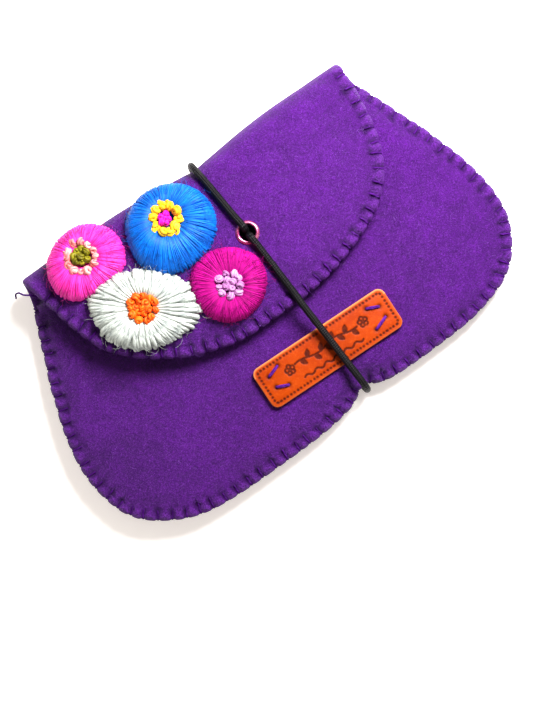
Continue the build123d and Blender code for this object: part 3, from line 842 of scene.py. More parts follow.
def front_felt():
    pts = [(71.9, 44.0)] + POUCH_EDGE[1:-1] + [(-71.9, 44.0)]
    side, _ = dense(pts, STEP, False)
    top = np.array([[x, 44.0 + 0.5 * soft(x, 0, 0.06, 4)] for x in np.arange(-71.2, 71.3, STEP)])
    loop = np.vstack([side, top])
    sites = loop_sites(loop, [tuple(p) for _, p, _ in P_SITES])
    _, near = rim_facts(loop, loop, sites)
    cut = pinch(loop, near, 0.75)
    v, f = flat_net(cut, RINGS, GRID)
    dist, near = rim_facts(v, cut, sites, loop)
    dist[: len(cut)] = 0.0
    half = felt_half(dist, FELT)
    sink = 1.25 * np.exp(-(near / 0.72) ** 2) * (1 - np.clip((dist - 3.8) / 1.0, 0, 1))
    half = np.where(half > 0, np.maximum(half - sink * 0.35, half * 0.5), 0)

    def place(x, y, i):
        z = front_face(x, y, rim_gap(x, y))
        d = dist[i]
        if y < 43.0:
            z += 0.78 * sstep(0.2, 1.8, d) * (1 - sstep(2.6, 5.5, d)) * (1 - math.exp(-(near[i] / 1.5) ** 2)) - 0.50 * bump(d - 4.6, 1.1) - sink[i] * 0.5 * sstep(0.2, 1.2, d)
        return Vector((x, y, z))

    ob = shell("front_panel", v, f, place, half, dist, groove_shade_of(dist, near) * (v[:, 1] < 43.2))
    finish_piece(ob, M_FELT, "pouch", ("front_felt",))
    area = shoelace(cut) * 1e-6
    w, l = np.ptp(cut[:, 0]) * MM, np.ptp(cut[:, 1]) * MM
    return (w, l, area)


# ------------------------------------------------------------------------------------
# Needle leaves
# ------------------------------------------------------------------------------------
LEAF_RIM = [(50.0, 46.6), (52.5, 40.0), (54.5, 32.0), (55.0, 24.0), (52.0, 14.5), (46.0, 7.0), (36.0, 1.8), (23.0, -1.2),
            (8.0, -2.2), (-8.0, -2.2), (-22.0, -0.8), (-34.0, 3.6), (-44.0, 10.6), (-50.5, 18.5), (-53.0, 26.0),
            (-53.0, 33.0), (-51.5, 40.0), (-49.5, 46.6)]


def leaf(name, z, inset, body, node):
    rim = [(x * (1 - inset / 60), 46.6 - (46.6 - y) * (1 - inset / 50)) for x, y in LEAF_RIM]
    side, _ = dense(rim, STEP * 1.6, False)
    top = np.array([[x, 46.6] for x in np.arange(rim[-1][0] + 1, rim[0][0] - 0.5, STEP * 1.6)])
    loop = np.vstack([side, top])
    # a fine zigzag edge
    saw = np.array([0.22 * (1 if i % 2 else -1) if q[1] < 45 else 0 for i, q in enumerate(loop)])
    cut = loop + normals_in(loop) * saw[:, None]
    v, f = flat_net(cut, [0.15, 0.5, 1.2, 2.4], GRID * 1.5)
    dist, _ = rim_facts(v, cut, [])
    dist[: len(cut)] = 0.0
    half = felt_half(dist, LEAF)

    def place(x, y, i):
        return Vector((x, y, z + LEAF / 2 - drop(abs(x) - 30.0, 1800.0) - drop(-22.0 - y, 640.0)))

    ob = shell(name, v, f, place, half, dist)
    finish_piece(ob, M_LEAF, body, (node,))
    shoelace(cut) * 1e-6
    return shoelace(cut) * 1e-6


# ------------------------------------------------------------------------------------
# Sewing threads
# ------------------------------------------------------------------------------------
def with_tone(ob, tones):
    layer = ob.data.attributes.new("tone", "FLOAT", "POINT")
    layer.data.foreach_set("value", tones)


def many_tubes(name, tubes, mat, body, stands_for=(), seed=1):
    rnd = random.Random(seed)
    tones = []
    for pv, pf, pu in tubes:
        tones += [rnd.random()] * len(pv)
    ob = tubes_object(name, tubes)
    with_tone(ob, tones)
    return finish_piece(ob, mat, body, stands_for)


def catmull(points, n=4):
    p = [Vector(q) for q in points]
    out = []
    for i in range(len(p) - 1):
        a, b, c, d = p[max(i - 1, 0)], p[i], p[i + 1], p[min(i + 2, len(p) - 1)]
        for k in range(n):
            t = k / n
            out.append(0.5 * (2 * b + (c - a) * t + (2 * a - 5 * b + 4 * c - d) * t * t + (3 * b - a - 3 * c + d) * t ** 3))
    out.append(p[-1])
    return out


def pouch_threads():
    rnd = random.Random(11)
    tubes = []
    r = 0.40

    def top(p, n, d):
        q = p + n * d
        return q, front_face(q[0], q[1], max(d, 0.0)) + FELT / 2

    def low(p, n, d):
        q = p + n * d
        return q, back_mid(q[0], q[1]) - FELT / 2

    for k, p, n in P_SITES:
        if p[1] < -40 and not off_cord(p, 1.6):
            continue
        t = np.array([-n[1], n[0]])
        lean = rnd.uniform(-0.5, 0.5)
        bite = 3.9 + rnd.uniform(-0.45, 0.45)
        path = []
        for d, dz in ((bite + 0.3, -1.7), (bite, -1.10), (bite - 0.6, -0.78), (bite * 0.55, -0.76), (1.4, -0.80), (0.85, -1.0)):
            q, z = top(p, n, d)
            q = q + t * lean * d / bite
            path.append((q[0], q[1], z + dz))
        q, z1 = top(p, n, 0.0)
        z0 = low(p, n, 0.0)[1]
        e = p + n * 0.52
        path.append((e[0], e[1], z1 - 1.3))
        e = p + n * 0.46
        path.append((e[0], e[1], (z0 + z1) / 2))
        e = p + n * 0.52
        path.append((e[0], e[1], z0 + 1.0))
        for d, dz in ((0.2, 0.0), (1.2, -0.16), (bite * 0.6, -0.22), (bite - 0.5, -0.25), (bite, 0.0), (bite + 0.5, 0.9)):
            q, z = low(p, n, d)
            q = q - t * lean * 0.5 * d / bite
            path.append((q[0], q[1], z + dz))
        tubes.append(tube(catmull(path, 3), r * rnd.uniform(0.92, 1.1), 7))
    # the looped thread that joins the stitches along the edge
    for a, b in zip(P_SITES, P_SITES[1:]):
        path = []
        n_ = 8
        for i in range(n_ + 1):
            k = int(a[0] + (b[0] - a[0]) * i / n_)
            u = i / n_
            p, n = P_LINE[k], P_IN[k]
            z1 = front_face(p[0], p[1], 0.0) + FELT / 2
            sag = math.sin(math.pi * u)
            q = p + n * (0.95 - 0.62 * sag)
            z = z1 - 1.45 - 0.75 * sag
            if p[1] < -40 and abs(p[0] - 11.6) < 3.2:
                z = min(z, z1 - 0.4)
                q = p + n * 0.9
            path.append((q[0], q[1], z))
        tubes.append(tube(catmull(path, 2), r * 1.02, 7))
    many_tubes("pouch_threads", tubes, M_THREAD, "pouch", ("pouch_stitches",), 4)


def flap_threads():
    rnd = random.Random(12)
    tubes = []
    r = 0.40

    def top(p, n, d):
        q = p + n * d
        return q, flap_skin(q[0], q[1]) - 0.35 * (1 - sstep(0, 2.5, d))

    for k, p, n in F_SITES:
        if not off_cord(p, 1.9):
            continue
        t = np.array([-n[1], n[0]])
        lean = rnd.uniform(-0.5, 0.5)
        bite = 4.0 + rnd.uniform(-0.45, 0.45)
        path = []
        for d, dz in ((bite + 0.3, -1.5), (bite, -0.95), (bite - 0.6, -0.60), (bite * 0.55, -0.60), (1.4, -0.66), (0.85, -0.92)):
            q, z = top(p, n, d)
            q = q + t * lean * d / bite
            path.append((q[0], q[1], z + dz))
        z1 = top(p, n, 0.0)[1]
        e = p + n * 0.5
        path.append((e[0], e[1], z1 - 1.5))
        for d, dz in ((0.8, -2.6), (1.3, -2.9), (2.4, -3.6), (bite - 0.5, -3.85), (bite, -3.4), (bite + 0.4, -2.9)):
            q, z = top(p, n, d)
            q = q - t * lean * 0.5 * d / bite
            path.append((q[0], q[1], z + dz))
        tubes.append(tube(catmull(path, 3), r * rnd.uniform(0.92, 1.1), 7))
    for a, b in zip(F_SITES, F_SITES[1:]):
        path = []
        n_ = 8
        for i in range(n_ + 1):
            k = int(a[0] + (b[0] - a[0]) * i / n_)
            u = i / n_
            p, n = F_LINE[k], F_IN[k]
            z1 = top(p, n, 0.0)[1]
            sag = math.sin(math.pi * u)
            q = p + n * (0.95 - 0.6 * sag)
            path.append((q[0], q[1], z1 - 1.3 - 0.5 * sag))
        tubes.append(tube(catmull(path, 2), r * 1.02, 7))
    # the loose end at the flap's left corner
    tubes.append(tube(catmull([(-66.2, 44.4, 14.0), (-68.4, 46.8, 15.0), (-70.4, 48.4, 15.2), (-71.6, 50.2, 14.0), (-73.0, 50.6, 12.8), (-73.9, 49.4, 12.0)], 4), 0.34, 7))
    many_tubes("flap_threads", tubes, M_THREAD, "flap", ("flap_stitches",), 6)


# ------------------------------------------------------------------------------------
# Embroidered flowers
# ------------------------------------------------------------------------------------
def radius_of(cx, cy, outline):
    ang = [(math.atan2(y - cy, x - cx), math.hypot(x - cx, y - cy)) for x, y in outline]
    ang.sort()
    a = np.array([q[0] for q in ang])
    r = np.array([q[1] for q in ang])
    a = np.concatenate([a[-2:] - 2 * math.pi, a, a[:2] + 2 * math.pi])
    r = np.concatenate([r[-2:], r, r[:2]])

    def at(t):
        t = (t + math.pi) % (2 * math.pi) - math.pi
        i = int(np.searchsorted(a, t)) - 1
        u = (t - a[i]) / max(a[i + 1] - a[i], 1e-6)
        u = u * u * (3 - 2 * u)
        return r[i] * (1 - u) + r[i + 1] * u
    return at


def petal_base(x, y):
    "the plane a flower sits on: the flap, then level over the shoulder of the fold with a slow droop"
    base = flap_mid(x, min(y, FOLD_C)) + FELT / 2
    if y > FOLD_C:
        base -= 0.021 * (y - FOLD_C) ** 2
        return max(base, flap_skin(x, y)) if y < fold_edge(x) - 1.0 else base
    return base


def flower(name, mat, c, ring_c, outline, count, thick, high, inner, seed, plies=0, loose=0.0, stands=()):
    """radial strands from the middle to the outline, over a padded mound"""
    rnd = random.Random(seed)
    cx, cy = c
    R = radius_of(cx, cy, outline)
    tubes = []

    def point(a, t, lift, bend):
        r1 = R(a)
        aa = a + bend * t * t
        x1, y1 = cx + r1 * math.cos(aa), cy + r1 * math.sin(aa)
        x0, y0 = ring_c[0] + inner * math.cos(a), ring_c[1] + inner * math.sin(a)
        x, y = x0 + (x1 - x0) * t, y0 + (y1 - y0) * t
        up = high * (0.60 + 0.40 * math.sin(min(t / 0.45, 1.0) * math.pi / 2)) * math.sqrt(max(1 - max((t - 0.34) / 0.66, 0.0) ** 2.6, 0.0))
        return (x, y, petal_base(x, y) + up + lift)

    verts, faces = [], []
    na, nt = 56, 10
    for i in range(na):
        a = 2 * math.pi * i / na
        for j in range(nt):
            t = j / (nt - 1)
            verts.append(Vector(point(a, t * 0.975, -0.42, 0)) * MM)
    verts.append(Vector((ring_c[0], ring_c[1], petal_base(*ring_c) + high * 0.55)) * MM)
    for i in range(na):
        k = (i + 1) % na
        for j in range(nt - 1):
            faces.append((i * nt + j, i * nt + j + 1, k * nt + j + 1, k * nt + j))
        faces.append((i * nt, k * nt, len(verts) - 1))
    pad = mesh_object(name + "_pad", verts, faces)
    tone = pad.data.attributes.new("tone", "FLOAT", "POINT")
    tone.data.foreach_set("value", [0.3] * len(verts))
    pad.data.uv_layers.new(name="along")
    finish_piece(pad, mat, "flap")

    for layer, (n, th, lift) in enumerate(((count, thick, 0.0), (int(count * (0.9 - 0.5 * loose)), thick * 0.92, thick * 0.55))):
        off = rnd.random()
        for i in range(n):
            a = 2 * math.pi * (i + off + rnd.uniform(-0.3, 0.3)) / n
            reach = 1.0 + rnd.uniform(-0.025 - 0.09 * loose, 0.02) - 0.02 * layer
            bend = rnd.uniform(-0.03, 0.03) * (1 + 7 * loose)
            hump = rnd.uniform(-0.16, 0.20) + loose * rnd.uniform(0, 0.7)
            steps = 9
            path, rad = [], []
            for j in range(steps + 1):
                t = j / steps
                q = point(a, t * reach if t * reach < 1 else 1.0, lift * (1 - t * 0.5) + hump * math.sin(math.pi * t), bend)
                path.append(q)
                rad.append(th * (0.55 + 0.52 * min(t / 0.62, 1.0)))
            e = point(a, 0.955, 0, bend)
            base = petal_base(e[0], e[1])
            path.append((e[0], e[1], base - 0.9))
            rad.append(th * 0.8)
            pts = catmull(path, 2)
            rr = np.interp(np.linspace(0, 1, len(pts)), np.linspace(0, 1, len(rad)), rad)
            tubes.append(tube(pts, [q * rnd.uniform(0.97, 1.03) for q in rr], 9 if plies else 7, False, plies, 0.55, 0.03))
    many_tubes(name, tubes, mat, "flap", stands, seed)
    # stray fibres round the rim and over the strands
    hairs = []
    for _ in range(230):
        a = rnd.uniform(0, 2 * math.pi)
        t0 = rnd.uniform(0.45, 1.0)
        x, y, z = point(a, t0, 0.25, 0)
        L, b, d = rnd.uniform(1.2, 5.4), rnd.uniform(-1.3, 1.3), a + rnd.uniform(-1.3, 1.3)
        path = []
        for i in range(7):
            u = i / 6
            px, py = x + L * u * math.cos(d + b * u), y + L * u * math.sin(d + b * u)
            zz = z + 0.9 * math.sin(math.pi * u * 0.8) * rnd.uniform(0.8, 1.1) - max(0.0, t0 - 0.6) * 2.5 * u
            path.append((px, py, max(zz, petal_base(px, py) + 0.15) if py < 52 else zz))
        hairs.append(tube(catmull(path, 2), rnd.uniform(0.03, 0.055), 3, False))
    many_tubes(name + "_fibres", hairs, mat, "flap", (), seed + 7)


def knot(x, y, z, r, rnd, turns=2.6):
    "a French knot: thread wound into a small uneven ball"
    ax = Vector((rnd.uniform(-1.0, 1.0), rnd.uniform(-1.0, 1.0), 0.9)).normalized()
    q = ax.to_track_quat("Z", "Y")
    ph = rnd.uniform(0, 6.28)
    sx, sy = rnd.uniform(0.85, 1.25), rnd.uniform(0.8, 1.1)
    path = []
    n = 28
    for i in range(n + 1):
        t = i / n
        pol = math.radians(14 + 150 * t)
        a = ph + turns * 2 * math.pi * t
        rr = r * 0.66
        p = q @ Vector((rr * sx * math.sin(pol) * math.cos(a), rr * sy * math.sin(pol) * math.sin(a), rr * 0.8 * math.cos(pol)))
        path.append((x + p.x, y + p.y, z + p.z))
    return tube(path, r * 0.40, 8)


def knots(name, node, mat, c, rings, high, seed, middle=None):
    "rings is a list of (how many, radius of the ring, radius of a knot)"
    rnd = random.Random(seed)
    tubes = []
    for n, rad, r in rings:
        off = rnd.random()
        for i in range(n):
            a = 2 * math.pi * (i + off + rnd.uniform(-0.2, 0.2)) / n
            k = rad * rnd.uniform(0.88, 1.1)
            x, y = c[0] + k * math.cos(a), c[1] + k * math.sin(a)
            tubes.append(knot(x, y, petal_base(x, y) + high + rnd.uniform(-0.25, 0.35), r * rnd.uniform(0.88, 1.15), rnd, rnd.uniform(2.0, 3.0)))
    if middle:
        tubes.append(knot(c[0], c[1], petal_base(*c) + high + 0.45, middle, rnd))
    return many_tubes(name, tubes, mat, "flap", (node,), seed)


def circle(cx, cy, rx, ry, turn=0.0, n=14, rough=0.03, seed=1):
    rnd = random.Random(seed)
    out = []
    for i in range(n):
        a = 2 * math.pi * i / n
        k = 1 + rnd.uniform(-rough, rough)
        x, y = rx * math.cos(a) * k, ry * math.sin(a) * k
        out.append((cx + x * math.cos(turn) - y * math.sin(turn), cy + x * math.sin(turn) + y * math.cos(turn)))
    return out


def silk(name, light, mid, dark, plies=3, per_mm=0.12, gloss=0.42, tone=0.42):
    return yarn(name, light, mid, dark, plies, per_mm, gloss, 0.12, 0.00022, tone)


M_PINK = silk("yarn_pink", lin(250, 74, 200), lin(240, 20, 152), lin(164, 0, 92))
M_SALMON = silk("yarn_salmon", lin(255, 178, 176), lin(242, 114, 118), lin(164, 40, 54), 2, 0.3)
M_OLIVE = silk("yarn_olive", lin(144, 136, 20), lin(98, 92, 4), lin(44, 40, 2), 2, 0.3)
M_BLUE = silk("yarn_blue", lin(0, 116, 216), lin(0, 76, 180), lin(0, 32, 108))
M_YELLOW = silk("yarn_yellow", lin(255, 214, 50), lin(238, 172, 6), lin(156, 92, 2), 2, 0.3)
M_CRIMSON = silk("yarn_crimson", lin(232, 24, 186), lin(196, 0, 142), lin(108, 0, 70), 2, 0.3)
M_WHITE = silk("yarn_white", lin(210, 216, 210), lin(178, 186, 180), lin(90, 98, 102), 2, 0.2, 0.25, 0.3)
M_ORANGE = silk("yarn_orange", lin(255, 126, 22), lin(244, 76, 2), lin(166, 30, 0), 2, 0.3)
M_MAGENTA = silk("yarn_magenta", lin(184, 2, 134), lin(144, 0, 96), lin(72, 0, 48), 3, 0.12, 0.16)
M_LILAC = silk("yarn_lilac", lin(208, 146, 204), lin(168, 98, 164), lin(94, 40, 94), 2, 0.3)

PINK_OUT = [(-57.6, 51.0), (-52.8, 55.4), (-45.9, 57.6), (-39.4, 56.8), (-34.3, 53.0), (-31.0, 46.9), (-31.2, 41.3), (-34.0, 36.4), (-38.8, 33.9), (-45.0, 33.4),
            (-50.6, 33.8), (-56.2, 35.8), (-59.4, 40.4), (-59.4, 46.4)]
BLUE_OUT = [(-26.0, 47.2), (-20.7, 51.1), (-13.2, 52.7), (-6.1, 50.7), (-0.8, 46.3), (2.1, 40.4), (2.1, 34.0), (-0.4, 28.6), (-5.5, 24.5), (-12.5, 22.6), (-20.1, 22.9),
            (-26.2, 26.0), (-29.4, 32.0), (-29.2, 39.6)]
WHITE_OUT = [(-52.4, 32.4), (-47.2, 35.4), (-41.4, 35.4), (-35.0, 33.2), (-28.7, 29.2), (-24.1, 24.7), (-20.9, 19.4), (-19.6, 13.4), (-20.7, 7.9), (-24.9, 5.2), (-31.1, 4.5),
             (-37.9, 4.9), (-45.3, 7.5), (-51.1, 12.4), (-54.3, 19.1), (-54.5, 25.7)]
MAGENTA_OUT = [(-19.0, 17.4), (-14.9, 21.2), (-8.9, 22.6), (-2.5, 20.9), (2.4, 17.0), (5.3, 11.5), (4.6, 5.3), (0.9, 0.4), (-4.7, -2.6), (-11.0, -3.0), (-16.7, -0.4),
               (-20.4, 5.2), (-21.0, 11.3)]


def flowers():
    flower("pink_flower", M_PINK, (-45.3, 45.2), (-45.2, 46.4), PINK_OUT, 104, 0.47, 4.3, 3.6, 21, stands=("pink_petals",))
    knots("pink_ring_knots", "pink_ring", M_SALMON, (-45.2, 46.4), [(12, 5.5, 1.60)], 3.5, 22)
    knots("pink_core_knots", "pink_core", M_OLIVE, (-45.0, 46.7), [(7, 2.4, 1.5)], 3.7, 23, 1.5)

    flower("blue_flower", M_BLUE, (-13.8, 37.2), (-13.2, 40.4), BLUE_OUT, 124, 0.47, 4.4, 3.7, 31, stands=("blue_petals",))
    knots("blue_ring_knots", "blue_ring", M_YELLOW, (-13.1, 40.6), [(10, 4.8, 1.85), (3, 6.0, 1.3)], 3.7, 32)
    knots("blue_core_knots", "blue_core", M_CRIMSON, (-13.5, 40.5), [(5, 1.35, 1.35)], 4.2, 33, 1.3)

    flower("white_flower", M_WHITE, (-37.4, 19.4), (-37.5, 19.6), WHITE_OUT, 60, 0.76, 4.2, 3.6, 41, 2, 0.35, stands=("white_petals",))
    knots("white_core_knots", "white_knots", M_ORANGE, (-37.5, 19.7), [(11, 4.5, 1.5), (6, 2.1, 1.45)], 3.9, 42, 1.4)

    flower("magenta_flower", M_MAGENTA, (-8.0, 9.6), (-8.0, 9.0), MAGENTA_OUT, 112, 0.45, 4.1, 3.0, 51, stands=("magenta_petals",))
    knots("magenta_core_knots", "magenta_knots", M_LILAC, (-8.0, 9.0), [(9, 3.9, 1.45), (4, 1.6, 1.4)], 3.8, 52)


# ------------------------------------------------------------------------------------
# Leather label, with a dashed line pressed in round its edge and a plain sprig motif
# ------------------------------------------------------------------------------------
LAB = (8.1, -28.8)
LAB_W, LAB_H, LAB_R = 56.0, 16.4, 2.8
LAB_A = math.radians(-1.0)
TACKS = [((-18.6, 4.8), (-23.3, 3.1)), ((-23.1, -1.4), (-18.9, -3.2)), ((19.1, 4.2), (23.5, 2.3)), ((23.5, -2.0), (18.2, -4.0))]


def label_xy(x, y):
    return LAB[0] + x * math.cos(LAB_A) - y * math.sin(LAB_A), LAB[1] + x * math.sin(LAB_A) + y * math.cos(LAB_A)


def label_mid(x, y):
    X, Y = label_xy(x, y)
    z = 11.4 - drop(-22.0 - Y, 640.0) + LABEL_T / 2 + 0.75
    return z + 0.25 * bump(x - 12, 14) - 0.30 * sstep(18, 28, abs(x)) - 0.18 * sstep(4, 8.2, abs(y))


LABEL_T = 1.3


def sprig_strokes():
    "a stem with pairs of leaves, a five-petal bloom at each end and a running wave below: no letters"
    s = []
    stem = [(x, 1.3 + 0.7 * math.sin(x * 0.42)) for x in np.linspace(-13.0, 13.0, 60)]
    s.append(stem)
    for k, x in enumerate(np.linspace(-10.6, 10.6, 9)):
        y = 1.3 + 0.7 * math.sin(x * 0.42)
        up = 1 if k % 2 else -1
        a = math.radians(58 if up > 0 else -58)
        leaf_pts = []
        for t in np.linspace(0, 1, 12):
            w = 0.62 * math.sin(math.pi * t)
            leaf_pts.append((x + 2.7 * t * math.cos(a) - w * math.sin(a), y + 2.7 * t * math.sin(a) + w * math.cos(a)))
        for t in np.linspace(1, 0, 12):
            w = -0.62 * math.sin(math.pi * t)
            leaf_pts.append((x + 2.7 * t * math.cos(a) - w * math.sin(a), y + 2.7 * t * math.sin(a) + w * math.cos(a)))
        s.append(leaf_pts)
        s.append([(x + 2.4 * t * math.cos(a), y + 2.4 * t * math.sin(a)) for t in np.linspace(0, 1, 8)])
    for cx in (-15.6, 15.6):
        for j in range(5):
            a = 2 * math.pi * j / 5 + 0.3
            s.append([(cx + 1.15 * math.cos(a) + 0.72 * math.cos(b), 1.0 + 1.15 * math.sin(a) + 0.72 * math.sin(b)) for b in np.linspace(0, 2 * math.pi, 14)])
    s.append([(x, -4.2 + 0.5 * math.sin(x * 1.5)) for x in np.linspace(-12.5, 12.5, 120)])
    return s


def stroke_field(points, strokes, width):
    tree_pts = []
    for line in strokes:
        for a, b in zip(line, line[1:]):
            m = max(int(math.hypot(b[0] - a[0], b[1] - a[1]) / 0.12), 1)
            tree_pts += [(a[0] + (b[0] - a[0]) * i / m, a[1] + (b[1] - a[1]) * i / m) for i in range(m)]
    tree = kdtree.KDTree(len(tree_pts))
    for i, p in enumerate(tree_pts):
        tree.insert((p[0], p[1], 0), i)
    tree.balance()
    return np.array([1 - sstep(width * 0.55, width * 1.35, tree.find((q[0], q[1], 0))[2]) for q in points])


def label():
    corners = []
    hw, hh, r = LAB_W / 2, LAB_H / 2, LAB_R
    for sx, sy, a0 in ((1, -1, -90), (1, 1, 0), (-1, 1, 90), (-1, -1, 180)):
        for k in range(9):
            a = math.radians(a0 + 90 * k / 8)
            corners.append((sx * (hw - r) + r * math.cos(a), sy * (hh - r) + r * math.sin(a)))
    line = []
    for i, p in enumerate(corners):
        q = corners[(i + 1) % len(corners)]
        m = max(int(math.hypot(q[0] - p[0], q[1] - p[1]) / 0.26), 1)
        line += [(p[0] + (q[0] - p[0]) * j / m, p[1] + (q[1] - p[1]) * j / m) for j in range(m)]
    loop = np.array(line)
    v, f = flat_net(loop, [0.12, 0.32, 0.65, 1.05, 1.4, 1.7, 2.0, 2.4], 0.32)
    dist, _ = rim_facts(v, loop, [])
    dist[: len(loop)] = 0.0
    half = np.where(dist > 0.03, LABEL_T / 2 * np.sqrt(np.maximum(1 - (1 - np.minimum(dist, 0.5) / 0.5) ** 2, 0)) * 0.5 + LABEL_T / 4 * (dist > 0.03), 0)
    half = np.minimum(half, LABEL_T / 2)
    # dashes round the edge
    ins = loop + normals_in(loop) * 1.7
    run = np.concatenate([[0], np.cumsum(np.linalg.norm(np.diff(ins, axis=0), axis=1))])
    dashes, cur = [], []
    for p, s in zip(ins, run):
        if (s % 1.42) < 0.80:
            cur.append(tuple(p))
        elif cur:
            dashes.append(cur); cur = []
    border = stroke_field(v, [d for d in dashes if len(d) > 1], 0.33)
    art = stroke_field(v, sprig_strokes(), 0.38)
    holes = np.zeros(len(v))
    for a, b in TACKS:
        for h in (a, b):
            holes = np.maximum(holes, np.exp(-((v[:, 0] - h[0]) ** 2 + (v[:, 1] - h[1]) ** 2) / 0.9 ** 2))
    down = 0.16 * border + 0.20 * art + 0.45 * holes
    half2 = half

    def place(x, y, i):
        X, Y = label_xy(x, y)
        return Vector((X, Y, label_mid(x, y) - down[i] * 0.5))

    def put(i):
        return half2[i]
    ob = shell("leather_patch", v, f, place, np.where(half > 0, np.maximum(half - down * 0.5, 0.12), 0), dist)
    n_top = len(v)
    burn_and_hole_shade = ob.data.attributes.new("burn_and_hole_shade", "FLOAT", "POINT")
    painted_edge_highlight = ob.data.attributes.new("painted_edge_highlight", "FLOAT", "POINT")
    total = len(ob.data.vertices)
    b = np.zeros(total)
    # dark marks: the burnt sprig and dashes, plus painted shade in the tack holes, which are pressed in but not cut
    b[:n_top] = np.clip(art * 1.35 + border * 1.7 + holes * 1.3, 0, 1)
    w = np.zeros(total)
    # painted highlight round the edge: full on the upper edge, a quarter on the lower
    edge = np.exp(-((dist - 0.25) / 0.35) ** 2)
    w[:n_top] = edge * np.where(v[:, 1] > 5, 1.0, 0.25)
    burn_and_hole_shade.data.foreach_set("value", b.astype(np.float32))
    painted_edge_highlight.data.foreach_set("value", w.astype(np.float32))
    finish_piece(ob, M_LABEL, "pouch", ("leather_label",))
    rnd = random.Random(9)
    tubes = []
    for a, c in TACKS:
        for k in (-0.26, 0.26):
            dx, dy = c[0] - a[0], c[1] - a[1]
            L = math.hypot(dx, dy)
            ox, oy = -dy / L * k, dx / L * k
            path = []
            for t, dz in ((-0.02, -1.9), (0.0, -0.5), (0.08, 0.35), (0.3, 0.62), (0.5, 0.66), (0.7, 0.62), (0.92, 0.35), (1.0, -0.5), (1.02, -1.9)):
                x, y = a[0] + dx * t + ox * (0.5 + math.sin(math.pi * min(max(t, 0), 1)) * 0.5), a[1] + dy * t + oy * (0.5 + math.sin(math.pi * min(max(t, 0), 1)) * 0.5)
                X, Y = label_xy(x, y)
                path.append((X, Y, label_mid(x, y) + LABEL_T / 2 + dz * 0.7))
            tubes.append(tube(catmull(path, 3), 0.31 * rnd.uniform(0.95, 1.08), 7))
    many_tubes("label_threads", tubes, M_TACK, "pouch", ("label_tacks",), 8)


# ------------------------------------------------------------------------------------
# Eyelet, washer, elastic
# ------------------------------------------------------------------------------------
def lathe(name, profile, cx, cy, n, mat, body, stands):
    verts, faces = [], []
    m = len(profile)
    for i in range(n):
        a = 2 * math.pi * i / n
        for r, z in profile:
            verts.append(Vector((cx + r * math.cos(a), cy + r * math.sin(a), z)) * MM)
    for i in range(n):
        k = (i + 1) % n
        for j in range(m):
            l = (j + 1) % m
            faces.append((i * m + j, k * m + j, k * m + l, i * m + l))
    ob = mesh_object(name, verts, faces)
    return finish_piece(ob, mat, body, stands)


def eyelet():
    z = 20.95
    prof = [(2.90, 17.2), (2.90, 19.4), (2.94, z + 0.30), (3.06, z + 0.58), (3.26, z + 0.74), (3.52, z + 0.76), (3.84, z + 0.62),
            (4.12, z + 0.38), (4.30, z + 0.14), (4.33, z + 0.02), (4.22, z - 0.04), (3.6, z + 0.02), (3.2, z - 0.1), (3.10, 19.4), (3.1, 17.2)]
    lathe("eyelet_ring", prof, EYE[0], EYE[1], 72, M_METAL, "flap", ("eyelet",))
    z = 16.95
    prof = [(3.0, z + 0.1), (3.05, z + 0.42), (3.4, z + 0.5), (4.0, z + 0.42), (4.3, z + 0.25), (4.32, z + 0.08), (4.0, z), (3.4, z - 0.02), (3.1, z)]
    lathe("eyelet_back_ring", prof, EYE[0], EYE[1], 72, M_METAL, "flap", ("eyelet_washer",))


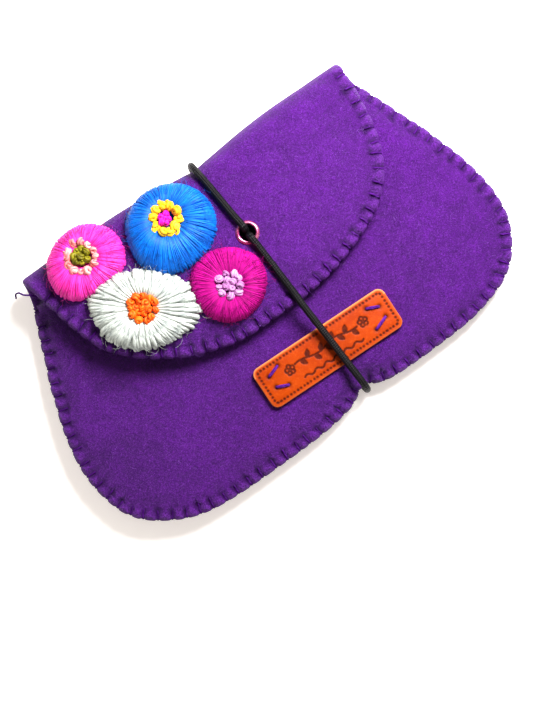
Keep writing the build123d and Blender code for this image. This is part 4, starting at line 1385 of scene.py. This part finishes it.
def elastic():
    def over(x, y, up=1.12):
        return (x, y, flap_skin(x, y) + up)
    p = [(7.55, 21.95, 15.6), (7.55, 22.0, 18.5), (7.55, 22.1, 20.9), (7.5, 22.9, 22.05), (7.3, 25.0, 22.3)]
    for y in (28.5, 33.0, 38.0, 43.0):
        p.append(over(cord_x(y), y, 1.25))
    e = fold_edge(4.6)
    p += [(4.95, 48.0, flap_skin(4.9, 46.0) + 0.75), (4.7, 51.4, 18.6), (4.6, e + 1.45, 14.6), (4.6, e + 1.75, 10.0), (4.62, e + 1.3, 5.6), (4.75, 50.6, 2.9), (5.0, 47.2, 1.75), (5.4, 42.0, 1.42)]
    for y in (30.0, 15.0, 0.0, -15.0, -30.0, -40.0):
        p.append((back_cord_x(y), y, 1.40))
    p += [(11.5, -45.6, 1.9), (11.6, -48.3, 3.9), (11.6, -49.3, 7.2), (11.6, -48.9, 10.4), (11.5, -47.0, 12.7), (11.3, -43.6, 13.9), (10.8, -36.0, 15.0), (10.3, -27.0, 16.1), (9.7, -18.0, 17.0)]
    p += [(9.25, -11.0, 18.1)]
    for y in (-6.0, -1.0, 4.0, 9.0, 13.5):
        p.append(over(cord_x(y), y, 1.15))
    p += [(7.65, 17.3, 22.35), (7.55, 19.2, 21.9), (7.5, 19.7, 20.3), (7.5, 19.75, 18.0), (7.5, 19.8, 15.6)]
    line = smooth_line(p, 0.7)
    ob = tubes_object("elastic_loop", [tube(line, 1.3, 18, True)])
    with_tone(ob, [0.5] * len(ob.data.vertices))
    finish_piece(ob, M_CORD, "elastic", ("elastic_cord",))
    # the two ends tied together under the flap
    k = []
    for i in range(46):
        t = i / 45 * 4 * math.pi
        k.append((EYE[0] + 2.35 * math.sin(t) + 0.5 * math.sin(2 * t), EYE[1] + 1.75 * math.cos(1.5 * t), 15.55 + 0.55 * math.sin(1.5 * t + 0.6)))
    kn = tubes_object("elastic_knot", [tube(k, 1.05, 12, True), tube([(EYE[0] + 1.2, EYE[1] - 0.8, 15.4), (EYE[0] + 3.2, EYE[1] - 1.6, 15.3), (EYE[0] + 4.3, EYE[1] - 2.0, 15.4)], 1.0, 12),
                                       tube([(EYE[0] - 1.2, EYE[1] + 0.8, 15.4), (EYE[0] - 3.2, EYE[1] + 1.4, 15.3), (EYE[0] - 4.3, EYE[1] + 1.7, 15.4)], 1.0, 12)])
    with_tone(kn, [0.5] * len(kn.data.vertices))
    finish_piece(kn, M_CORD, "flap", ("cord_knot",))


# ------------------------------------------------------------------------------------
# Loose fibres on the felt
# ------------------------------------------------------------------------------------
def fuzz(name, count, body, seed, where):
    rnd = random.Random(seed)
    tubes = []
    for _ in range(count):
        got = where(rnd)
        if got is None:
            continue
        x, y, z = got
        a = rnd.uniform(0, 6.283)
        L = rnd.uniform(1.0, 3.4)
        bend = rnd.uniform(-1.6, 1.6)
        lift = rnd.uniform(0.1, 0.65)
        path = []
        for i in range(6):
            t = i / 5
            path.append((x + L * t * math.cos(a + bend * t), y + L * t * math.sin(a + bend * t), z - 0.05 + lift * math.sin(math.pi * min(t * 1.1, 1)) + 0.05 * t))
        tubes.append(tube(path, 0.022, 3, False))
    many_tubes(name, tubes, M_HAIR, body, (), seed)


M_HAIR = yarn("felt_fibre", lin(168, 120, 214), lin(124, 70, 182), lin(84, 34, 136), 1, 0.1, 0.1)


def on_flap(rnd):
    x, y = rnd.uniform(-66, 68), rnd.uniform(-9, 48)
    q = np.array([[x, y]])
    if not inside(q, FLAP_POLY)[0]:
        return None
    if math.hypot(x - EYE[0], y - EYE[1]) < 6:
        return None
    return x, y, flap_skin(x, y)


def on_front(rnd):
    x, y = rnd.uniform(-89, 90), rnd.uniform(-53, 42)
    q = np.array([[x, y]])
    if not inside(q, POUCH_POLY)[0] or inside(q, FLAP_POLY)[0]:
        return None
    if abs(x - LAB[0]) < 30 and abs(y - LAB[1]) < 10:
        return None
    return x, y, front_face(x, y) + FELT / 2


FLAP_POLY = np.vstack([F_LINE, [[-66.2, 50.0], [68.6, 50.0]]])
POUCH_POLY = np.vstack([P_LINE, [[-72.0, 44.0], [72.0, 44.0]]])

# ------------------------------------------------------------------------------------
# Build everything
# ------------------------------------------------------------------------------------
SIZES = {"outer_felt": outer_felt()}
SIZES["inner_lining"] = inner_lining()
SIZES["front_panel"] = front_felt()
SIZES["leaf_low"] = leaf("leaf_sheet_low", 11.65, 0.0, "leaf_low", "leaf_lower")
SIZES["leaf_high"] = leaf("leaf_sheet_high", 12.95, 1.5, "leaf_high", "leaf_upper")
pouch_threads()
flap_threads()
flowers()
label()
eyelet()
elastic()
fuzz("flap_fibres", 700, "flap", 61, on_flap)
fuzz("pouch_fibres", 700, "pouch", 62, on_front)

# ------------------------------------------------------------------------------------
# Floor, light and camera
# ------------------------------------------------------------------------------------
floor = mesh_object("floor", [(-1.5, -1.5, -0.0002), (1.5, -1.5, -0.0002), (1.5, 1.5, -0.0002), (-1.5, 1.5, -0.0002)], [(0, 1, 2, 3)], False)
FM = Mat("paper_floor")
grain = FM.noise(FM.coords(), 180, 4, 0.6)
FM.put(FM.b, "Base Color", FM.mix(FM.span(grain, 0.35, 0.65), lin(246, 243, 243), lin(242, 238, 239)))
FM.b.inputs["Roughness"].default_value = 0.75
FM.b.inputs["Specular IOR Level"].default_value = 0.2
FM.b.inputs["Emission Color"].default_value = (1.0, 0.93, 0.85, 1)
FM.b.inputs["Emission Strength"].default_value = 0.42
FM.bump(grain, 0.05, 0.0002)
floor.data.materials.append(FM.m)

RIGHT = Vector((0.82287, -0.56823, 0))
UP = Vector((0.56823, 0.82287, 0))
CENTRE = Vector((-0.01148, -0.01845, 0))


def area_light(name, side, up, height, size, power, colour):
    data = bpy.data.lights.new(name, "AREA")
    data.shape = "DISK"
    data.size = size
    data.energy = power
    data.color = colour
    ob = bpy.data.objects.new(name, data)
    COL.objects.link(ob)
    at = CENTRE + RIGHT * side + UP * up + Vector((0, 0, height))
    ob.location = at
    ob.visible_camera = False
    ob.rotation_euler = (at - CENTRE).to_track_quat("Z", "Y").to_euler()
    return ob


area_light("key", 0.08, 0.175, 0.205, 0.12, 2.65, (1.0, 0.99, 0.975))
area_light("fill", -0.28, -0.30, 0.17, 0.26, 0.75, (1.0, 0.95, 0.88))
world = bpy.data.worlds.new("studio")
bpy.context.scene.world = world
world.use_nodes = True
bg = world.node_tree.nodes["Background"]
bg.inputs["Color"].default_value = (1.0, 0.955, 0.895, 1)
wn, wl = world.node_tree.nodes, world.node_tree.links
wc = wn.new("ShaderNodeTexCoord")
wd = wn.new("ShaderNodeVectorMath")
wd.operation = "DOT_PRODUCT"
toward = (UP * 0.80 + RIGHT * 0.22 + Vector((0, 0, 0.55))).normalized()
wd.inputs[1].default_value = tuple(toward)
wl.new(wc.outputs["Generated"], wd.inputs[0])
wr = wn.new("ShaderNodeMapRange")
wr.interpolation_type = "SMOOTHSTEP"
for key_, val_ in (("From Min", 0.15), ("From Max", 1.0), ("To Min", 0.17), ("To Max", 0.66)):
    wr.inputs[key_].default_value = val_
wl.new(wd.outputs["Value"], wr.inputs["Value"])
wl.new(wr.outputs[0], bg.inputs["Strength"])

cam_data = bpy.data.cameras.new("camera")
cam_data.sensor_fit = "HORIZONTAL"
cam_data.sensor_width = 36.0
cam_data.lens = 69.2
cam_data.clip_start = 0.01
cam = bpy.data.objects.new("camera", cam_data)
COL.objects.link(cam)
cam.matrix_world = Matrix(((RIGHT.x, UP.x, 0, CENTRE.x), (RIGHT.y, UP.y, 0, CENTRE.y), (0, 0, 1, 0.380), (0, 0, 0, 1)))
bpy.context.scene.camera = cam
bpy.context.scene.view_settings.view_transform = "Standard"
bpy.context.scene.view_settings.look = "None"
